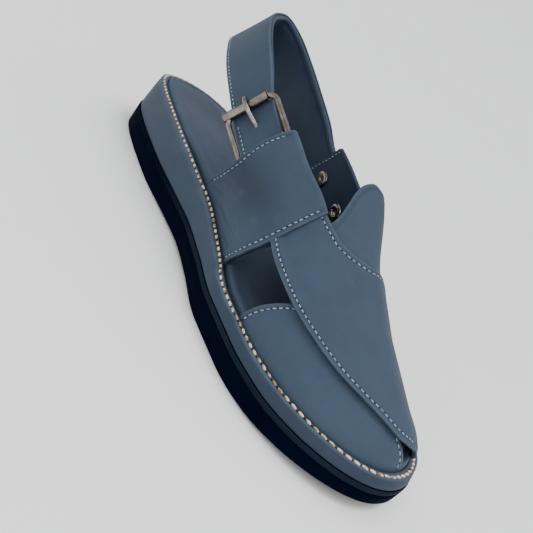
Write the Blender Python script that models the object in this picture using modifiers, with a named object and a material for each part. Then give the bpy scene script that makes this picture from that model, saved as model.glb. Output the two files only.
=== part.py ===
"""Peshawari chappal, right shoe: crossed-strap upper, wrapped wedge sole, buckled heel strap.

Metres, +Z up, +X to the toe, +Y to the inner (medial) side of the foot.
The origin is on the flat underside of the heel.
"""
import math
from collections import namedtuple

import bmesh
import bpy
import numpy as np
from mathutils import Matrix, Vector

for old in list(bpy.data.objects):
    bpy.data.objects.remove(old, do_unlink=True)

# Sole: lengths, widths and heights of the seam line, where the rim is stitched
SEAM_LENGTH = 0.2745
BALL_WIDTH = 0.0870
HEEL_REST_X = 0.0350      # heel end of the seam to the middle of the heel's flat spot
HEEL_STACK = 0.0322       # rim height at the heel
FOREPART_STACK = 0.0174   # rim height at the ball
OUTSOLE_DEPTH = 0.0125
TOE_SPRING = 0.0050
ARCH_RISE = 0.0012
OUTSOLE_REACH = 0.0036    # how far the outsole's side stands out past the seam
OUTSOLE_TUCK = 0.0004     # and how much less it does at the tread
WELT_STEP = 0.0024        # depth of the bead round the top of the outsole
BEAD_NICK = 0.0005
TREAD_ROUND = 0.0009
RAND_REACH = 0.0031       # wrap leather past the seam, at its lower edge
RIM_REACH = 0.0021        # and at the rim
RIM_LIP = 0.0020          # how far the wrap's fold reaches inside the seam
RAND_LEATHER = 0.0015
INSOLE_DEPTH = 0.0030
INSOLE_CROWN = 0.0006
INSOLE_ROUND = 0.0012
FIT = 0.0003              # clearance between pieces that touch

# Last and upper
LEATHER = 0.0018
LAP_LIFT = 0.0014         # a panel that laps another stands this far above it
QUARTER_LIFT = 0.0028     # outer quarter above the last, where it laps the vamp
STRAP_ROOM = 0.0006       # and how much further out it stands over the strap end
TONGUE_FLARE = (0.0015, 0.0032, 0.0036)    # how the tongue's lobe leans up and inwards
EDGE_LIFT = 0.0012        # how far the vamp's free edge stands off the toe panel
RIDGE_RISE = 0.0640       # ridge of the last above the rim, where the quarters stand
POCKET_LEATHER = 0.0011
POCKET_DEPTH = 0.0115     # inner ply of the quarter, below its outer ply

# Heel strap
STRAP_THICK = 0.0030
STRAP_END_THICK = 0.0022
STRAP_EDGE = 0.0009
STRAP_WIDTH = 0.0295
STRAP_STATIONS = 60
POCKET_SLACK = 0.0006     # strap end to the quarter, over FIT

# Buckle and rivets
WIRE = 0.0024
WIRE_CORNER = 0.0034
LEG_ROOM = 0.0004         # strap edge to the buckle's leg
ROLLER_WALL = 0.0006
ROLLER_SEAM = 0.0007
BUCKLE_LENGTH = 0.0310    # roller to bar
BUCKLE_FIT = 0.0006
BAR_DROP = 0.0008         # the bar hangs this much lower, clear of the quarter
PRONG_WIRE = 0.0021
PRONG_TIP = 0.0034        # how far the prong reaches past the roller's middle
SLOT_AT = 0.0215          # middle of the strap's slot, from the bar
SLOT_LENGTH = 0.0080
SLOT_WIDTH = 0.0030
BOW_AT_ROLLER = 0.3       # share of the strap's bow in the pocket that is left at the roller
RIVET_HEAD = 0.0033
RIVET_SHANK = 0.0012
RIVET_CAP = 0.0009
RIVET_ROOM = 0.0003

OUTLINE_STEPS = 42        # points along each side of the sole
QUARTER_GRID = (13, 11)   # rows and columns of each panel
POCKET_GRID = (25, 9)
POCKET_ROWS = (0, 2, 5, 9, 13, 17, 20, 22, 23, 24)    # the ones kept, close at the fold
VAMP_GRID = (14, 22)
TONGUE_GRID = (14, 24)
TOE_GRID = (9, 22)
BLUE_LEATHER = (0.064, 0.094, 0.140)
DARK_LINING = (0.030, 0.040, 0.055)
BLACK_RUBBER = (0.004, 0.006, 0.012)
OLD_NICKEL = (0.42, 0.36, 0.30)

# Seam line: along is a share of SEAM_LENGTH, the half widths are shares of BALL_WIDTH
OUTLINE = np.array([
    # along, lateral, medial
    (0.000, 0.000, 0.000),
    (0.018, 0.196, 0.172),
    (0.080, 0.301, 0.303),
    (0.180, 0.353, 0.342),
    (0.310, 0.381, 0.318),
    (0.440, 0.381, 0.309),
    (0.565, 0.434, 0.369),
    (0.675, 0.498, 0.452),
    (0.775, 0.503, 0.497),
    (0.850, 0.470, 0.474),
    (0.925, 0.364, 0.392),
    (0.975, 0.220, 0.240),
    (1.000, 0.000, 0.000)])

# Side view: rim is a share of the step from FOREPART_STACK to HEEL_STACK, joint of
# OUTSOLE_DEPTH, arch of ARCH_RISE and spring of TOE_SPRING
SIDE = np.array([
    # along, rim, joint, arch, spring
    (0.00, 1.00, 1.01, 0.0, 0.00),
    (0.12, 0.97, 1.00, 0.0, 0.00),
    (0.26, 0.88, 1.00, 0.0, 0.00),
    (0.40, 0.66, 1.00, 0.8, 0.00),
    (0.51, 0.44, 1.00, 1.0, 0.00),
    (0.62, 0.18, 1.00, 0.3, 0.00),
    (0.68, 0.06, 0.99, 0.0, 0.00),
    (0.80, 0.00, 0.95, 0.0, 0.00),
    (0.88, 0.00, 0.92, 0.0, 0.20),
    (1.00, 0.06, 1.05, 0.0, 1.00)])

# Sections of the last: ridge is a share of RIDGE_RISE, bias shifts the ridge as a share
# of BALL_WIDTH, crown and fall shape the lateral and the medial wall
LAST = np.array([
    # along, ridge, bias, lat_crown, lat_fall, med_crown, med_fall
    (0.330, 1.040, 0.020, 2.00, 2.00, 2.90, 2.60),
    (0.440, 1.000, 0.023, 2.00, 2.00, 2.80, 2.50),
    (0.547, 0.925, 0.026, 1.80, 1.80, 2.20, 1.90),
    (0.590, 0.880, 0.028, 1.70, 1.70, 1.90, 1.70),
    (0.637, 0.790, 0.029, 1.65, 1.65, 1.80, 1.60),
    (0.692, 0.675, 0.030, 1.62, 1.60, 1.70, 1.25),
    (0.754, 0.555, 0.032, 1.60, 1.58, 1.60, 1.00),
    (0.809, 0.448, 0.034, 1.62, 1.55, 1.55, 0.90),
    (0.874, 0.330, 0.040, 1.68, 1.50, 1.55, 0.95),
    (0.933, 0.226, 0.036, 1.75, 1.50, 1.60, 1.10),
    (0.969, 0.145, 0.028, 1.90, 1.60, 1.80, 1.40),
    (1.000, 0.000, 0.020, 2.00, 1.80, 2.00, 1.80)])

# Panel edges on the last: along, and around from 0 at the lateral rim to 1 at the medial
QUARTER_REAR = [(0.412, 0.000), (0.417, 0.020), (0.433, 0.062), (0.442, 0.110), (0.448, 0.175),
                (0.457, 0.240), (0.466, 0.296)]
QUARTER_TOP = [(0.466, 0.296), (0.545, 0.302), (0.634, 0.336)]
QUARTER_FRONT = [(0.617, 0.000), (0.620, 0.030), (0.630, 0.100), (0.642, 0.175), (0.644, 0.238),
                 (0.639, 0.295), (0.634, 0.336)]
QUARTER_FOOT = [(0.412, 0.000), (0.515, 0.000), (0.617, 0.000)]

VAMP_END = [(0.580, 0.150), (0.583, 0.225), (0.590, 0.300)]
VAMP_BACK = [(0.590, 0.300), (0.635, 0.331), (0.660, 0.351), (0.684, 0.374), (0.703, 0.413),
             (0.716, 0.469), (0.718, 0.560), (0.708, 0.700), (0.690, 0.850), (0.672, 1.000)]
VAMP_EDGE = [(0.580, 0.150), (0.643, 0.175), (0.694, 0.181), (0.758, 0.194), (0.809, 0.216),
             (0.859, 0.246), (0.899, 0.284), (0.934, 0.345), (0.957, 0.440), (0.965, 0.600),
             (0.960, 0.800), (0.948, 1.000)]
VAMP_FOOT = [(0.948, 1.000), (0.820, 1.000), (0.672, 1.000)]

TONGUE_REAR = [(0.350, 1.000), (0.353, 0.980), (0.362, 0.935), (0.377, 0.880), (0.398, 0.825),
               (0.420, 0.752)]
TONGUE_TOP = [(0.420, 0.752), (0.474, 0.737), (0.522, 0.718), (0.556, 0.690), (0.580, 0.645),
              (0.592, 0.585), (0.592, 0.525), (0.588, 0.480), (0.591, 0.450), (0.603, 0.422),
              (0.622, 0.396), (0.640, 0.366), (0.652, 0.322)]
TONGUE_FRONT = [(0.668, 1.000), (0.700, 0.890), (0.735, 0.750), (0.748, 0.600), (0.745, 0.480),
                (0.725, 0.400), (0.690, 0.350), (0.652, 0.322)]
TONGUE_FOOT = [(0.350, 1.000), (0.510, 1.000), (0.668, 1.000)]

POCKET_REAR = [(0.456, 0.070), (0.460, 0.150), (0.465, 0.220), (0.470, 0.292)]
POCKET_TOP = [(0.470, 0.292), (0.525, 0.295), (0.574, 0.306)]
POCKET_FRONT = [(0.568, 0.070), (0.570, 0.150), (0.572, 0.230), (0.574, 0.306)]
POCKET_FOOT = [(0.456, 0.070), (0.512, 0.070), (0.568, 0.070)]

# Toe panel in plan: along, and across as a share of BALL_WIDTH; it starts and ends at the rim
TOE_BACK_ALONG = 0.727
TOE_FRONT_ACROSS = 0.110
TOE_INNER = [(0.782, -0.250), (0.825, -0.205), (0.868, -0.150), (0.905, -0.085),
             (0.930, -0.030), (0.948, 0.010)]

# Free run of the heel strap, from the buckle round the heel to the inner quarter: along and
# height are shares of SEAM_LENGTH, across of BALL_WIDTH, wide of STRAP_WIDTH, lean in degrees
STRAP_RUN = np.array([
    # along, across, height, wide, lean
    (0.364, -0.304, 0.2460, 0.78, 13.0),
    (0.300, -0.300, 0.2750, 0.90, 10.0),
    (0.235, -0.278, 0.2985, 0.98, 10.0),
    (0.180, -0.218, 0.3125, 1.00, 16.0),
    (0.132, -0.118, 0.3190, 1.02, 26.0),
    (0.098, 0.030, 0.3195, 1.02, 31.0),
    (0.118, 0.168, 0.3050, 1.02, 22.0),
    (0.170, 0.240, 0.2815, 1.00, 10.0),
    (0.240, 0.272, 0.2575, 0.97, 6.0),
    (0.310, 0.292, 0.2355, 0.94, 5.0)])
# The strap's two ends lie on the last: along, around, and wide again of STRAP_WIDTH
STRAP_IN_POCKET = [(0.526, 0.164, 0.66), (0.490, 0.169, 0.70), (0.450, 0.175, 0.73)]
STRAP_ON_QUARTER = [(0.392, 0.880, 0.92), (0.450, 0.866, 0.90), (0.520, 0.856, 0.86)]
RIVETS = [("rivet_rear", 0.425, 0.870), ("rivet_front", 0.502, 0.858)]
ROLLER_ALONG = 0.368


def smooth(rows_x, rows_y):
    """Monotone cubic through the rows of a table, as a function of one variable."""
    x, y = np.asarray(rows_x, float), np.asarray(rows_y, float)
    gap, rise = np.diff(x), np.diff(y) / np.diff(x)
    slope = np.zeros_like(y)
    same = rise[1:] * rise[:-1] > 0
    steep = 2 * rise[1:] * rise[:-1] / np.where(same, rise[1:] + rise[:-1], 1)
    slope[1:-1] = np.where(same, steep, 0)
    slope[0], slope[-1] = rise[0], rise[-1]

    def at(value):
        value = np.clip(np.asarray(value, float), x[0], x[-1])
        k = np.clip(np.searchsorted(x, value, side="right") - 1, 0, len(gap) - 1)
        t = (value - x[k]) / gap[k]
        return (y[k] * (1 + 2 * t) * (1 - t) ** 2 + y[k + 1] * t * t * (3 - 2 * t)
                + gap[k] * t * (1 - t) * (slope[k] * (1 - t) - slope[k + 1] * t))
    return at


def curve_through(rows, count, scale=(SEAM_LENGTH, BALL_WIDTH)):
    """Evenly spaced points on a smooth curve through the rows, whose columns scale measures."""
    rows = np.asarray(rows, float)
    chord = np.r_[0, np.cumsum(np.linalg.norm(np.diff(rows * scale, axis=0), axis=1))]
    slope = np.gradient(rows, chord, axis=0)
    fine = np.linspace(0, chord[-1], 24 * len(rows))
    k = np.clip(np.searchsorted(chord, fine, side="right") - 1, 0, len(chord) - 2)
    gap = (chord[k + 1] - chord[k])[:, None]
    t = (fine[:, None] - chord[k][:, None]) / gap
    line = (rows[k] * (1 + 2 * t) * (1 - t) ** 2 + rows[k + 1] * t * t * (3 - 2 * t)
            + gap * t * (1 - t) * (slope[k] * (1 - t) - slope[k + 1] * t))
    travel = np.r_[0, np.cumsum(np.linalg.norm(np.diff(line * scale, axis=0), axis=1))]
    even = np.linspace(0, travel[-1], count)
    return np.stack([np.interp(even, travel, column) for column in line.T], axis=1)


lateral_square = smooth(OUTLINE[:, 0], OUTLINE[:, 1] ** 2)
medial_square = smooth(OUTLINE[:, 0], OUTLINE[:, 2] ** 2)
rim_share = smooth(SIDE[:, 0], SIDE[:, 1])
joint_share = smooth(SIDE[:, 0], SIDE[:, 2])
arch_share = smooth(SIDE[:, 0], SIDE[:, 3])
spring_share = smooth(SIDE[:, 0], SIDE[:, 4])
ridge_square = smooth(LAST[:, 0], LAST[:, 1] ** 2)
bias_share = smooth(LAST[:, 0], LAST[:, 2])
wall_shape = [smooth(LAST[:, 0], LAST[:, column]) for column in (3, 4, 5, 6)]


def share(x):
    return (x + HEEL_REST_X) / SEAM_LENGTH


def rim_height(x):
    return FOREPART_STACK + (HEEL_STACK - FOREPART_STACK) * rim_share(share(x))


def joint_height(x):
    return OUTSOLE_DEPTH * joint_share(share(x))


def tread_height(x):
    return ARCH_RISE * arch_share(share(x)) + TOE_SPRING * spring_share(share(x))


def seam_loop(steps):
    """The seam line as a closed loop: lateral side to the toe, medial side back."""
    along = (1 - np.cos(np.linspace(0, math.pi, steps + 1))) / 2
    x = along * SEAM_LENGTH - HEEL_REST_X
    lateral = np.stack([x, -BALL_WIDTH * np.sqrt(lateral_square(along))], axis=1)
    medial = np.stack([x, BALL_WIDTH * np.sqrt(medial_square(along))], axis=1)
    return np.vstack([lateral, medial[-2:0:-1]])


def offset(loop, distance):
    """The loop moved outwards in plan by a distance, which may vary from point to point."""
    run = np.roll(loop, -1, axis=0) - np.roll(loop, 1, axis=0)
    outward = np.stack([run[:, 1], -run[:, 0]], axis=1)
    outward /= np.linalg.norm(outward, axis=1)[:, None]
    return loop + outward * np.reshape(distance, (-1, 1))


SEAM = seam_loop(OUTLINE_STEPS)
LAST_INSET = RIM_LIP + FIT + LEATHER
FOOTPRINT = offset(seam_loop(6 * OUTLINE_STEPS), -LAST_INSET)
toe_index = 6 * OUTLINE_STEPS
TOE_X = FOOTPRINT[toe_index, 0]


def footprint_side(x, lateral):
    """Half width of the last where it meets the sole."""
    side = FOOTPRINT[:toe_index + 1] if lateral else np.vstack([FOOTPRINT[toe_index:], FOOTPRINT[:1]])[::-1]
    return np.interp(x, side[:, 0], side[:, 1])


def last_share(x):
    """Share along the seam, stretched so that the last closes at its own toe."""
    tip = share(TOE_X)
    start = LAST[-3, 0]
    raw = share(x)
    return np.where(raw < start, raw, start + (raw - start) * (1 - start) / (tip - start))


def section(x):
    """Foot line height, ridge height and ridge offset of the last at x."""
    at = last_share(x)
    foot = rim_height(x) + FIT
    return foot, foot + RIDGE_RISE * np.sqrt(np.maximum(ridge_square(at), 0)), BALL_WIDTH * bias_share(at)


def on_last(along, around):
    """Points of the last at shares along the seam and around the section."""
    x = np.asarray(along, float) * SEAM_LENGTH - HEEL_REST_X
    x = np.minimum(x, TOE_X - 1e-5)
    around = np.asarray(around, float)
    foot, ridge, middle = section(x)
    lateral = around < 0.5
    turn = np.minimum(around, 1 - around).clip(0, 0.5) * math.pi
    at = last_share(x)
    lat_crown, lat_fall, med_crown, med_fall = [shape(at) for shape in wall_shape]
    crown = np.where(lateral, lat_crown, med_crown)
    fall = np.where(lateral, lat_fall, med_fall)
    edge = np.where(lateral, footprint_side(x, True), footprint_side(x, False))
    y = middle + (edge - middle) * np.cos(turn) ** (2 / crown)
    z = foot + (ridge - foot) * np.sin(turn) ** (2 / fall)
    return np.stack([x, y, z], axis=-1)


def skirt(line):
    """The line where a panel meets the rim, let straight down beside the insole."""
    low = line.copy()
    low[..., 2] = rim_height(line[..., 0]) - RAND_LEATHER
    return low


def lift_in_plan(x, y):
    """Height of the last over points of the plan."""
    foot, ridge, middle = section(x)
    at = last_share(x)
    lateral = y < middle
    lat_crown, lat_fall, med_crown, med_fall = [shape(at) for shape in wall_shape]
    crown = np.where(lateral, lat_crown, med_crown)
    fall = np.where(lateral, lat_fall, med_fall)
    edge = np.where(lateral, footprint_side(x, True), footprint_side(x, False))
    reach = np.clip(np.abs((y - middle) / (edge - middle)), 0, 1)
    return foot + (ridge - foot) * (1 - reach ** crown) ** (1 / fall)


def last_frame(along, around):
    """A point of the last with its outward normal and the direction up its wall."""
    step = 1e-3
    ahead = on_last(along + step, around) - on_last(along - step, around)
    over = on_last(along, around + step) - on_last(along, around - step)
    out = np.cross(ahead, over)
    up = over if around < 0.5 else -over
    return on_last(along, around), out / np.linalg.norm(out), up / np.linalg.norm(up)


def normals(points):
    """Unit normals of a grid of points, pointing away from the foot."""
    out = np.cross(np.gradient(points, axis=1), np.gradient(points, axis=0))
    out /= np.linalg.norm(out, axis=-1, keepdims=True) + 1e-12
    return out


def patch(foot, top, rear, front, rows, columns):
    """A four-sided panel, filled between its edges: rows go up, columns go to the toe."""
    low, high = curve_through(foot, columns), curve_through(top, columns)
    back, fore = curve_through(rear, rows), curve_through(front, rows)
    u = np.linspace(0, 1, columns)[None, :, None]
    v = np.linspace(0, 1, rows)[:, None, None]
    sides = back[:, None] * (1 - u) + fore[:, None] * u
    ends = low[None] * (1 - v) + high[None] * v
    corners = (low[0] * (1 - u) * (1 - v) + low[-1] * u * (1 - v)
               + high[0] * (1 - u) * v + high[-1] * u * v)
    return sides + ends - corners


# Scene helpers

parts = bpy.data.collections.new("peshawari_chappal")
cutters = bpy.data.collections.new("cutters")
for group in (parts, cutters):
    bpy.context.scene.collection.children.link(group)


def material(name, colour, roughness, metallic=0.0):
    made = bpy.data.materials.new(name)
    made.use_nodes = True
    shader = made.node_tree.nodes["Principled BSDF"]
    shader.inputs["Base Color"].default_value = (*colour, 1.0)
    shader.inputs["Roughness"].default_value = roughness
    shader.inputs["Metallic"].default_value = metallic
    return made


def add_object(name, bm, finish=None, group=parts, sharp=math.radians(40)):
    bmesh.ops.remove_doubles(bm, verts=bm.verts, dist=1e-7)
    bmesh.ops.recalc_face_normals(bm, faces=bm.faces)
    mesh = bpy.data.meshes.new(name)
    bm.to_mesh(mesh)
    bm.free()
    mesh.shade_smooth()
    mesh.set_sharp_from_angle(angle=sharp)
    thing = bpy.data.objects.new(name, mesh)
    group.objects.link(thing)
    if finish:
        mesh.materials.append(finish)
    if group is cutters:
        thing.hide_render = True
        thing.display_type = "WIRE"
    return thing


def loft(rings, ring_closed=True, ladder=True):
    """A skin over rings of points; ladder closes both ends across the ring."""
    bm = bmesh.new()
    made = [[bm.verts.new(point) for point in ring] for ring in rings]
    count = len(made[0])
    last = count if ring_closed else count - 1
    for low, high in zip(made, made[1:]):
        for i in range(last):
            j = (i + 1) % count
            bm.faces.new((low[i], low[j], high[j], high[i]))
    if ladder:
        for ring in (made[0], made[-1]):
            half = count // 2
            for i in range(half):
                loop = [ring[i], ring[i + 1], ring[-(i + 1) % count], ring[-i % count]]
                bm.faces.new(list(dict.fromkeys(loop)))
    return bm


def ring_at(reach, height):
    """A loop round the sole, reach outside the seam, at a height worked out from x."""
    plan = offset(SEAM, reach)
    return np.column_stack([plan, height(SEAM[:, 0])])


def sheet(name, points, thick, finish=None, group=cutters):
    """An open grid of leather on the last, given its wall outwards by Solidify."""
    rows, columns = points.shape[:2]
    bm = bmesh.new()
    bmesh.ops.create_grid(bm, x_segments=columns - 1, y_segments=rows - 1, size=0.5)
    bm.verts.ensure_lookup_table()
    for vert in bm.verts:
        column = round((vert.co.x + 0.5) * (columns - 1))
        row = round((vert.co.y + 0.5) * (rows - 1))
        vert.co = points[row, column]
    mesh = bpy.data.meshes.new(name)
    bm.to_mesh(mesh)
    bm.free()
    thing = bpy.data.objects.new(name, mesh)
    group.objects.link(thing)
    if finish:
        mesh.materials.append(finish)
    if group is cutters:
        thing.hide_render = True
        thing.display_type = "WIRE"
    wall = thing.modifiers.new("wall", "SOLIDIFY")
    wall.thickness = thick
    wall.offset = 1.0
    return thing


def boolean(thing, other, operation):
    cut = thing.modifiers.new(operation.lower() + "_" + other.name, "BOOLEAN")
    cut.operation = operation
    cut.object = other
    cut.solver = "EXACT"


def frame(origin, along, across):
    """A matrix whose X runs along, Y across and Z out of the two."""
    x = Vector(along).normalized()
    z = x.cross(Vector(across)).normalized()
    y = z.cross(x)
    turn = Matrix((x, y, z)).transposed().to_4x4()
    return Matrix.Translation(Vector(origin)) @ turn


# Sole

def make_outsole():
    """Rubber sole with a rounded tread edge and a beaded step round its top."""
    tuck = OUTSOLE_REACH - OUTSOLE_TUCK
    bead = lambda x: joint_height(x) - WELT_STEP
    rings = [
        ring_at(tuck - TREAD_ROUND, tread_height),
        ring_at(tuck, lambda x: tread_height(x) + TREAD_ROUND),
        ring_at(OUTSOLE_REACH - BEAD_NICK, lambda x: bead(x) - BEAD_NICK),
        ring_at(OUTSOLE_REACH, bead),
        ring_at(OUTSOLE_REACH, joint_height)]
    return add_object("outsole", loft(rings), material("outsole_rubber", BLACK_RUBBER, 0.6))


def make_rand():
    """Leather wrap: up the side of the wedge, over the rim and in to its cut edge."""
    foot = lambda x: joint_height(x) + FIT
    under = lambda x: rim_height(x) - RAND_LEATHER
    round_off = RAND_LEATHER / 2
    rings = [
        ring_at(RAND_REACH, foot),
        ring_at(RIM_REACH, lambda x: rim_height(x) - round_off),
        ring_at(RIM_REACH - round_off, rim_height),
        ring_at(-RIM_LIP, rim_height),
        ring_at(-RIM_LIP, under),
        ring_at(RIM_REACH - RAND_LEATHER, under),
        ring_at(RAND_REACH - RAND_LEATHER, foot)]
    return add_object("rand", loft(rings + rings[:1], ladder=False),
                      material("rand_leather", BLUE_LEATHER, 0.55))


def make_midsole():
    """Wedge core inside the wrap, thick at the heel and thin at the toe."""
    top = lambda x: rim_height(x) - RAND_LEATHER - FIT
    inset = RAND_LEATHER + FIT
    rings = [
        ring_at(RAND_REACH - inset, lambda x: joint_height(x) + FIT),
        ring_at(RIM_REACH - inset, top)]
    return add_object("midsole", loft(rings), material("midsole_core", DARK_LINING, 0.8))


def insole_margin(x):
    """Seam to insole edge: close at the heel, wider where the upper stands in between."""
    ease = smooth((0.26, 0.33), (0.0, 1.0))(share(x))
    return RIM_LIP + FIT + (LEATHER + FIT) * ease


def make_insole():
    """Padded footbed with a rounded edge, lying on the wedge."""
    margin = insole_margin(SEAM[:, 0])
    floor = lambda x: rim_height(x) - RAND_LEATHER
    top = lambda x: floor(x) + INSOLE_DEPTH
    rings = [
        ring_at(-margin, floor),
        ring_at(-margin, lambda x: top(x) - INSOLE_ROUND),
        ring_at(-margin - INSOLE_ROUND * 0.3, lambda x: top(x) - INSOLE_ROUND * 0.3),
        ring_at(-margin - INSOLE_ROUND, top),
        ring_at(-margin - 4 * INSOLE_ROUND, lambda x: top(x) - INSOLE_CROWN)]
    return add_object("insole", loft(rings), material("insole_leather", BLUE_LEATHER, 0.6))


# Upper

def step_up(share_in, start, end):
    t = np.clip((share_in - start) / (end - start), 0, 1)
    return t * t * (3 - 2 * t)


def quarter_lift(grid):
    """How far the outer quarter stands off the last at shares along and around."""
    room = STRAP_ROOM * (1 - step_up(grid[..., 0], 0.52, 0.57))
    return (QUARTER_LIFT + room) * step_up(grid[..., 1], 0.0, 0.12)


def lateral_quarter():
    grid = patch(QUARTER_FOOT, QUARTER_TOP, QUARTER_REAR, QUARTER_FRONT, *QUARTER_GRID)
    points = on_last(grid[..., 0], grid[..., 1])
    points = points + normals(points) * quarter_lift(grid)[..., None]
    return sheet("lateral_quarter", np.concatenate([skirt(points[:1]), points]), LEATHER)


def quarter_pocket():
    """Inner ply of the outer quarter, folded down from its top edge over the strap end."""
    kept = list(POCKET_ROWS)
    grid = patch(POCKET_FOOT, POCKET_TOP, POCKET_REAR, POCKET_FRONT, *POCKET_GRID)[kept]
    points = on_last(grid[..., 0], grid[..., 1])
    rows = np.linspace(0, 1, POCKET_GRID[0])[kept, None]
    columns = np.linspace(0, 1, POCKET_GRID[1])[None, :]
    deep = step_up(rows, 0.0, 0.12) * step_up(1 - rows, 0.0, 0.05) * step_up(1 - columns, 0.0, 0.15)
    lift = quarter_lift(grid) - POCKET_LEATHER * 0.5 - POCKET_DEPTH * deep
    return sheet("quarter_pocket", points + normals(points) * lift[..., None], POCKET_LEATHER)


def vamp():
    grid = patch(VAMP_EDGE, VAMP_BACK, VAMP_END, VAMP_FOOT, *VAMP_GRID)
    points = on_last(grid[..., 0], grid[..., 1])
    rows = np.linspace(0, 1, VAMP_GRID[0])[:, None]
    lift = LAP_LIFT * step_up(1 - grid[..., 1], 0.0, 0.08)
    edge = EDGE_LIFT * step_up(1 - rows, 0.75, 1.0) * step_up(1 - grid[..., 1], 0.0, 0.25)
    points = points + normals(points) * (lift + edge)[..., None]
    return sheet("vamp", np.concatenate([points, skirt(points[:, -1:])], axis=1), LEATHER)


def tongue_quarter():
    """Inner quarter and tongue, one piece of leather from the medial rim over the ridge."""
    grid = patch(TONGUE_FOOT, TONGUE_TOP, TONGUE_REAR, TONGUE_FRONT, *TONGUE_GRID)
    points = on_last(grid[..., 0], grid[..., 1])
    along, around = grid[..., 0], grid[..., 1]
    flare = 1 - step_up(along, 0.600, 0.715)
    flare *= step_up(around, 0.36, 0.50) * (1 - step_up(around, 0.56, 0.73))
    points = points + np.array(TONGUE_FLARE) * flare[..., None]
    points = np.concatenate([skirt(points[:1]), points])[::-1]
    return sheet("tongue_quarter", points, LEATHER)


def toe_panel():
    """Outer toe strap, from the lateral rim round the toe and in under the vamp."""
    start = int(np.argmin(np.abs(FOOTPRINT[:toe_index, 0] - (TOE_BACK_ALONG * SEAM_LENGTH - HEEL_REST_X))))
    beyond = FOOTPRINT[toe_index:]
    end = toe_index + int(np.argmin(np.abs(beyond[:60, 1] - TOE_FRONT_ACROSS * BALL_WIDTH)))
    rim = FOOTPRINT[start:end + 1]
    travel = np.r_[0, np.cumsum(np.linalg.norm(np.diff(rim, axis=0), axis=1))]
    rows, columns = TOE_GRID
    even = np.linspace(0, travel[-1], columns)
    rim = np.stack([np.interp(even, travel, rim[:, k]) for k in (0, 1)], axis=1)
    inner = curve_through(TOE_INNER, columns) * (SEAM_LENGTH, BALL_WIDTH) - (HEEL_REST_X, 0)
    inward = 1 - np.cos(np.linspace(0, math.pi / 2, rows))
    plan = rim[None] + (inner - rim)[None] * inward[:, None, None]
    x = np.minimum(plan[..., 0], TOE_X - 1e-5)
    z = lift_in_plan(x, plan[..., 1])
    points = np.concatenate([plan, z[..., None]], axis=-1)
    points[0, :, 2] = rim_height(points[0, :, 0]) + FIT
    return sheet("toe_panel", np.concatenate([skirt(points[:1]), points]), LEATHER)


def make_upper():
    """All straps and panels joined where they cross, as one hollow leather wall."""
    upper = toe_panel()
    upper.name = "upper"
    for piece in (vamp(), tongue_quarter(), lateral_quarter(), quarter_pocket()):
        boolean(upper, piece, "UNION")
    cutters.objects.unlink(upper)
    parts.objects.link(upper)
    upper.hide_render = False
    upper.display_type = "TEXTURED"
    upper.data.materials.append(material("upper_leather", BLUE_LEATHER, 0.55))
    return upper


# Heel strap

def last_bow(along, around, half):
    """How far the last falls away from its tangent plane, half a strap's width up and down."""
    point, out, up = last_frame(along, around)
    reach = np.linspace(0.005, 0.2, 60)
    sinks = []
    for way in (-1, 1):
        beside = on_last(np.full_like(reach, along), around + way * reach) - point
        sinks.append(np.interp(half, np.abs(beside @ up), -(beside @ out)))
    return max(sinks)


def strap_path():
    """Stations of the strap, from pocket to quarter: centre, axis, width, thickness and bow."""
    rows = []
    for along, around, wide in STRAP_IN_POCKET:
        point, out, up = last_frame(along, around)
        sunk = quarter_lift(np.array([along, around])) - FIT - POCKET_SLACK - STRAP_END_THICK / 2
        bow = last_bow(along, around, wide * STRAP_WIDTH / 2)
        rows.append([*(point + out * sunk), *up, wide, STRAP_END_THICK, bow])
    free = len(rows)
    for along, across, height, wide, lean in STRAP_RUN:
        centre = (along * SEAM_LENGTH - HEEL_REST_X, across * BALL_WIDTH, height * SEAM_LENGTH)
        rows.append([*centre, 0, 0, 1, wide, STRAP_THICK, 0])
    for along, around, wide in STRAP_ON_QUARTER:
        point, out, up = last_frame(along, around)
        stands = LEATHER + FIT + STRAP_END_THICK / 2
        bow = last_bow(along, around, wide * STRAP_WIDTH / 2)
        rows.append([*(point + out * stands), *up, wide, STRAP_END_THICK, bow])
    rows = np.array(rows)
    rows[free, 7:] = STRAP_END_THICK, rows[free - 1, 8] * BOW_AT_ROLLER
    run = np.gradient(rows[:, :3], axis=0)
    for row, lean in enumerate(np.radians(STRAP_RUN[:, 4]), free):
        along = run[row] / np.linalg.norm(run[row])
        upright = np.array((0, 0, 1)) - along[2] * along
        upright /= np.linalg.norm(upright)
        rows[row, 3:6] = math.cos(lean) * upright + math.sin(lean) * np.cross(along, upright)
    return curve_through(rows, STRAP_STATIONS, scale=np.array([1, 1, 1, 0, 0, 0, 0, 0, 0]))


STRAP = strap_path()
STRAP_TRAVEL = np.r_[0, np.cumsum(np.linalg.norm(np.diff(STRAP[:, :3], axis=0), axis=1))]
Station = namedtuple("Station", "centre along axis out wide thick bow")


def strap_at(travel):
    """The strap at a distance from its pocket end; out points away from the foot."""
    row = np.array([np.interp(travel, STRAP_TRAVEL, column) for column in STRAP.T])
    ends = [np.array([np.interp(travel + d, STRAP_TRAVEL, column) for column in STRAP.T[:3]])
            for d in (-0.002, 0.002)]
    along = (ends[1] - ends[0]) / np.linalg.norm(ends[1] - ends[0])
    axis = row[3:6] - along * np.dot(along, row[3:6])
    axis /= np.linalg.norm(axis)
    return Station(row[:3], along, axis, np.cross(axis, along), row[6] * STRAP_WIDTH, row[7], row[8])


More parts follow.
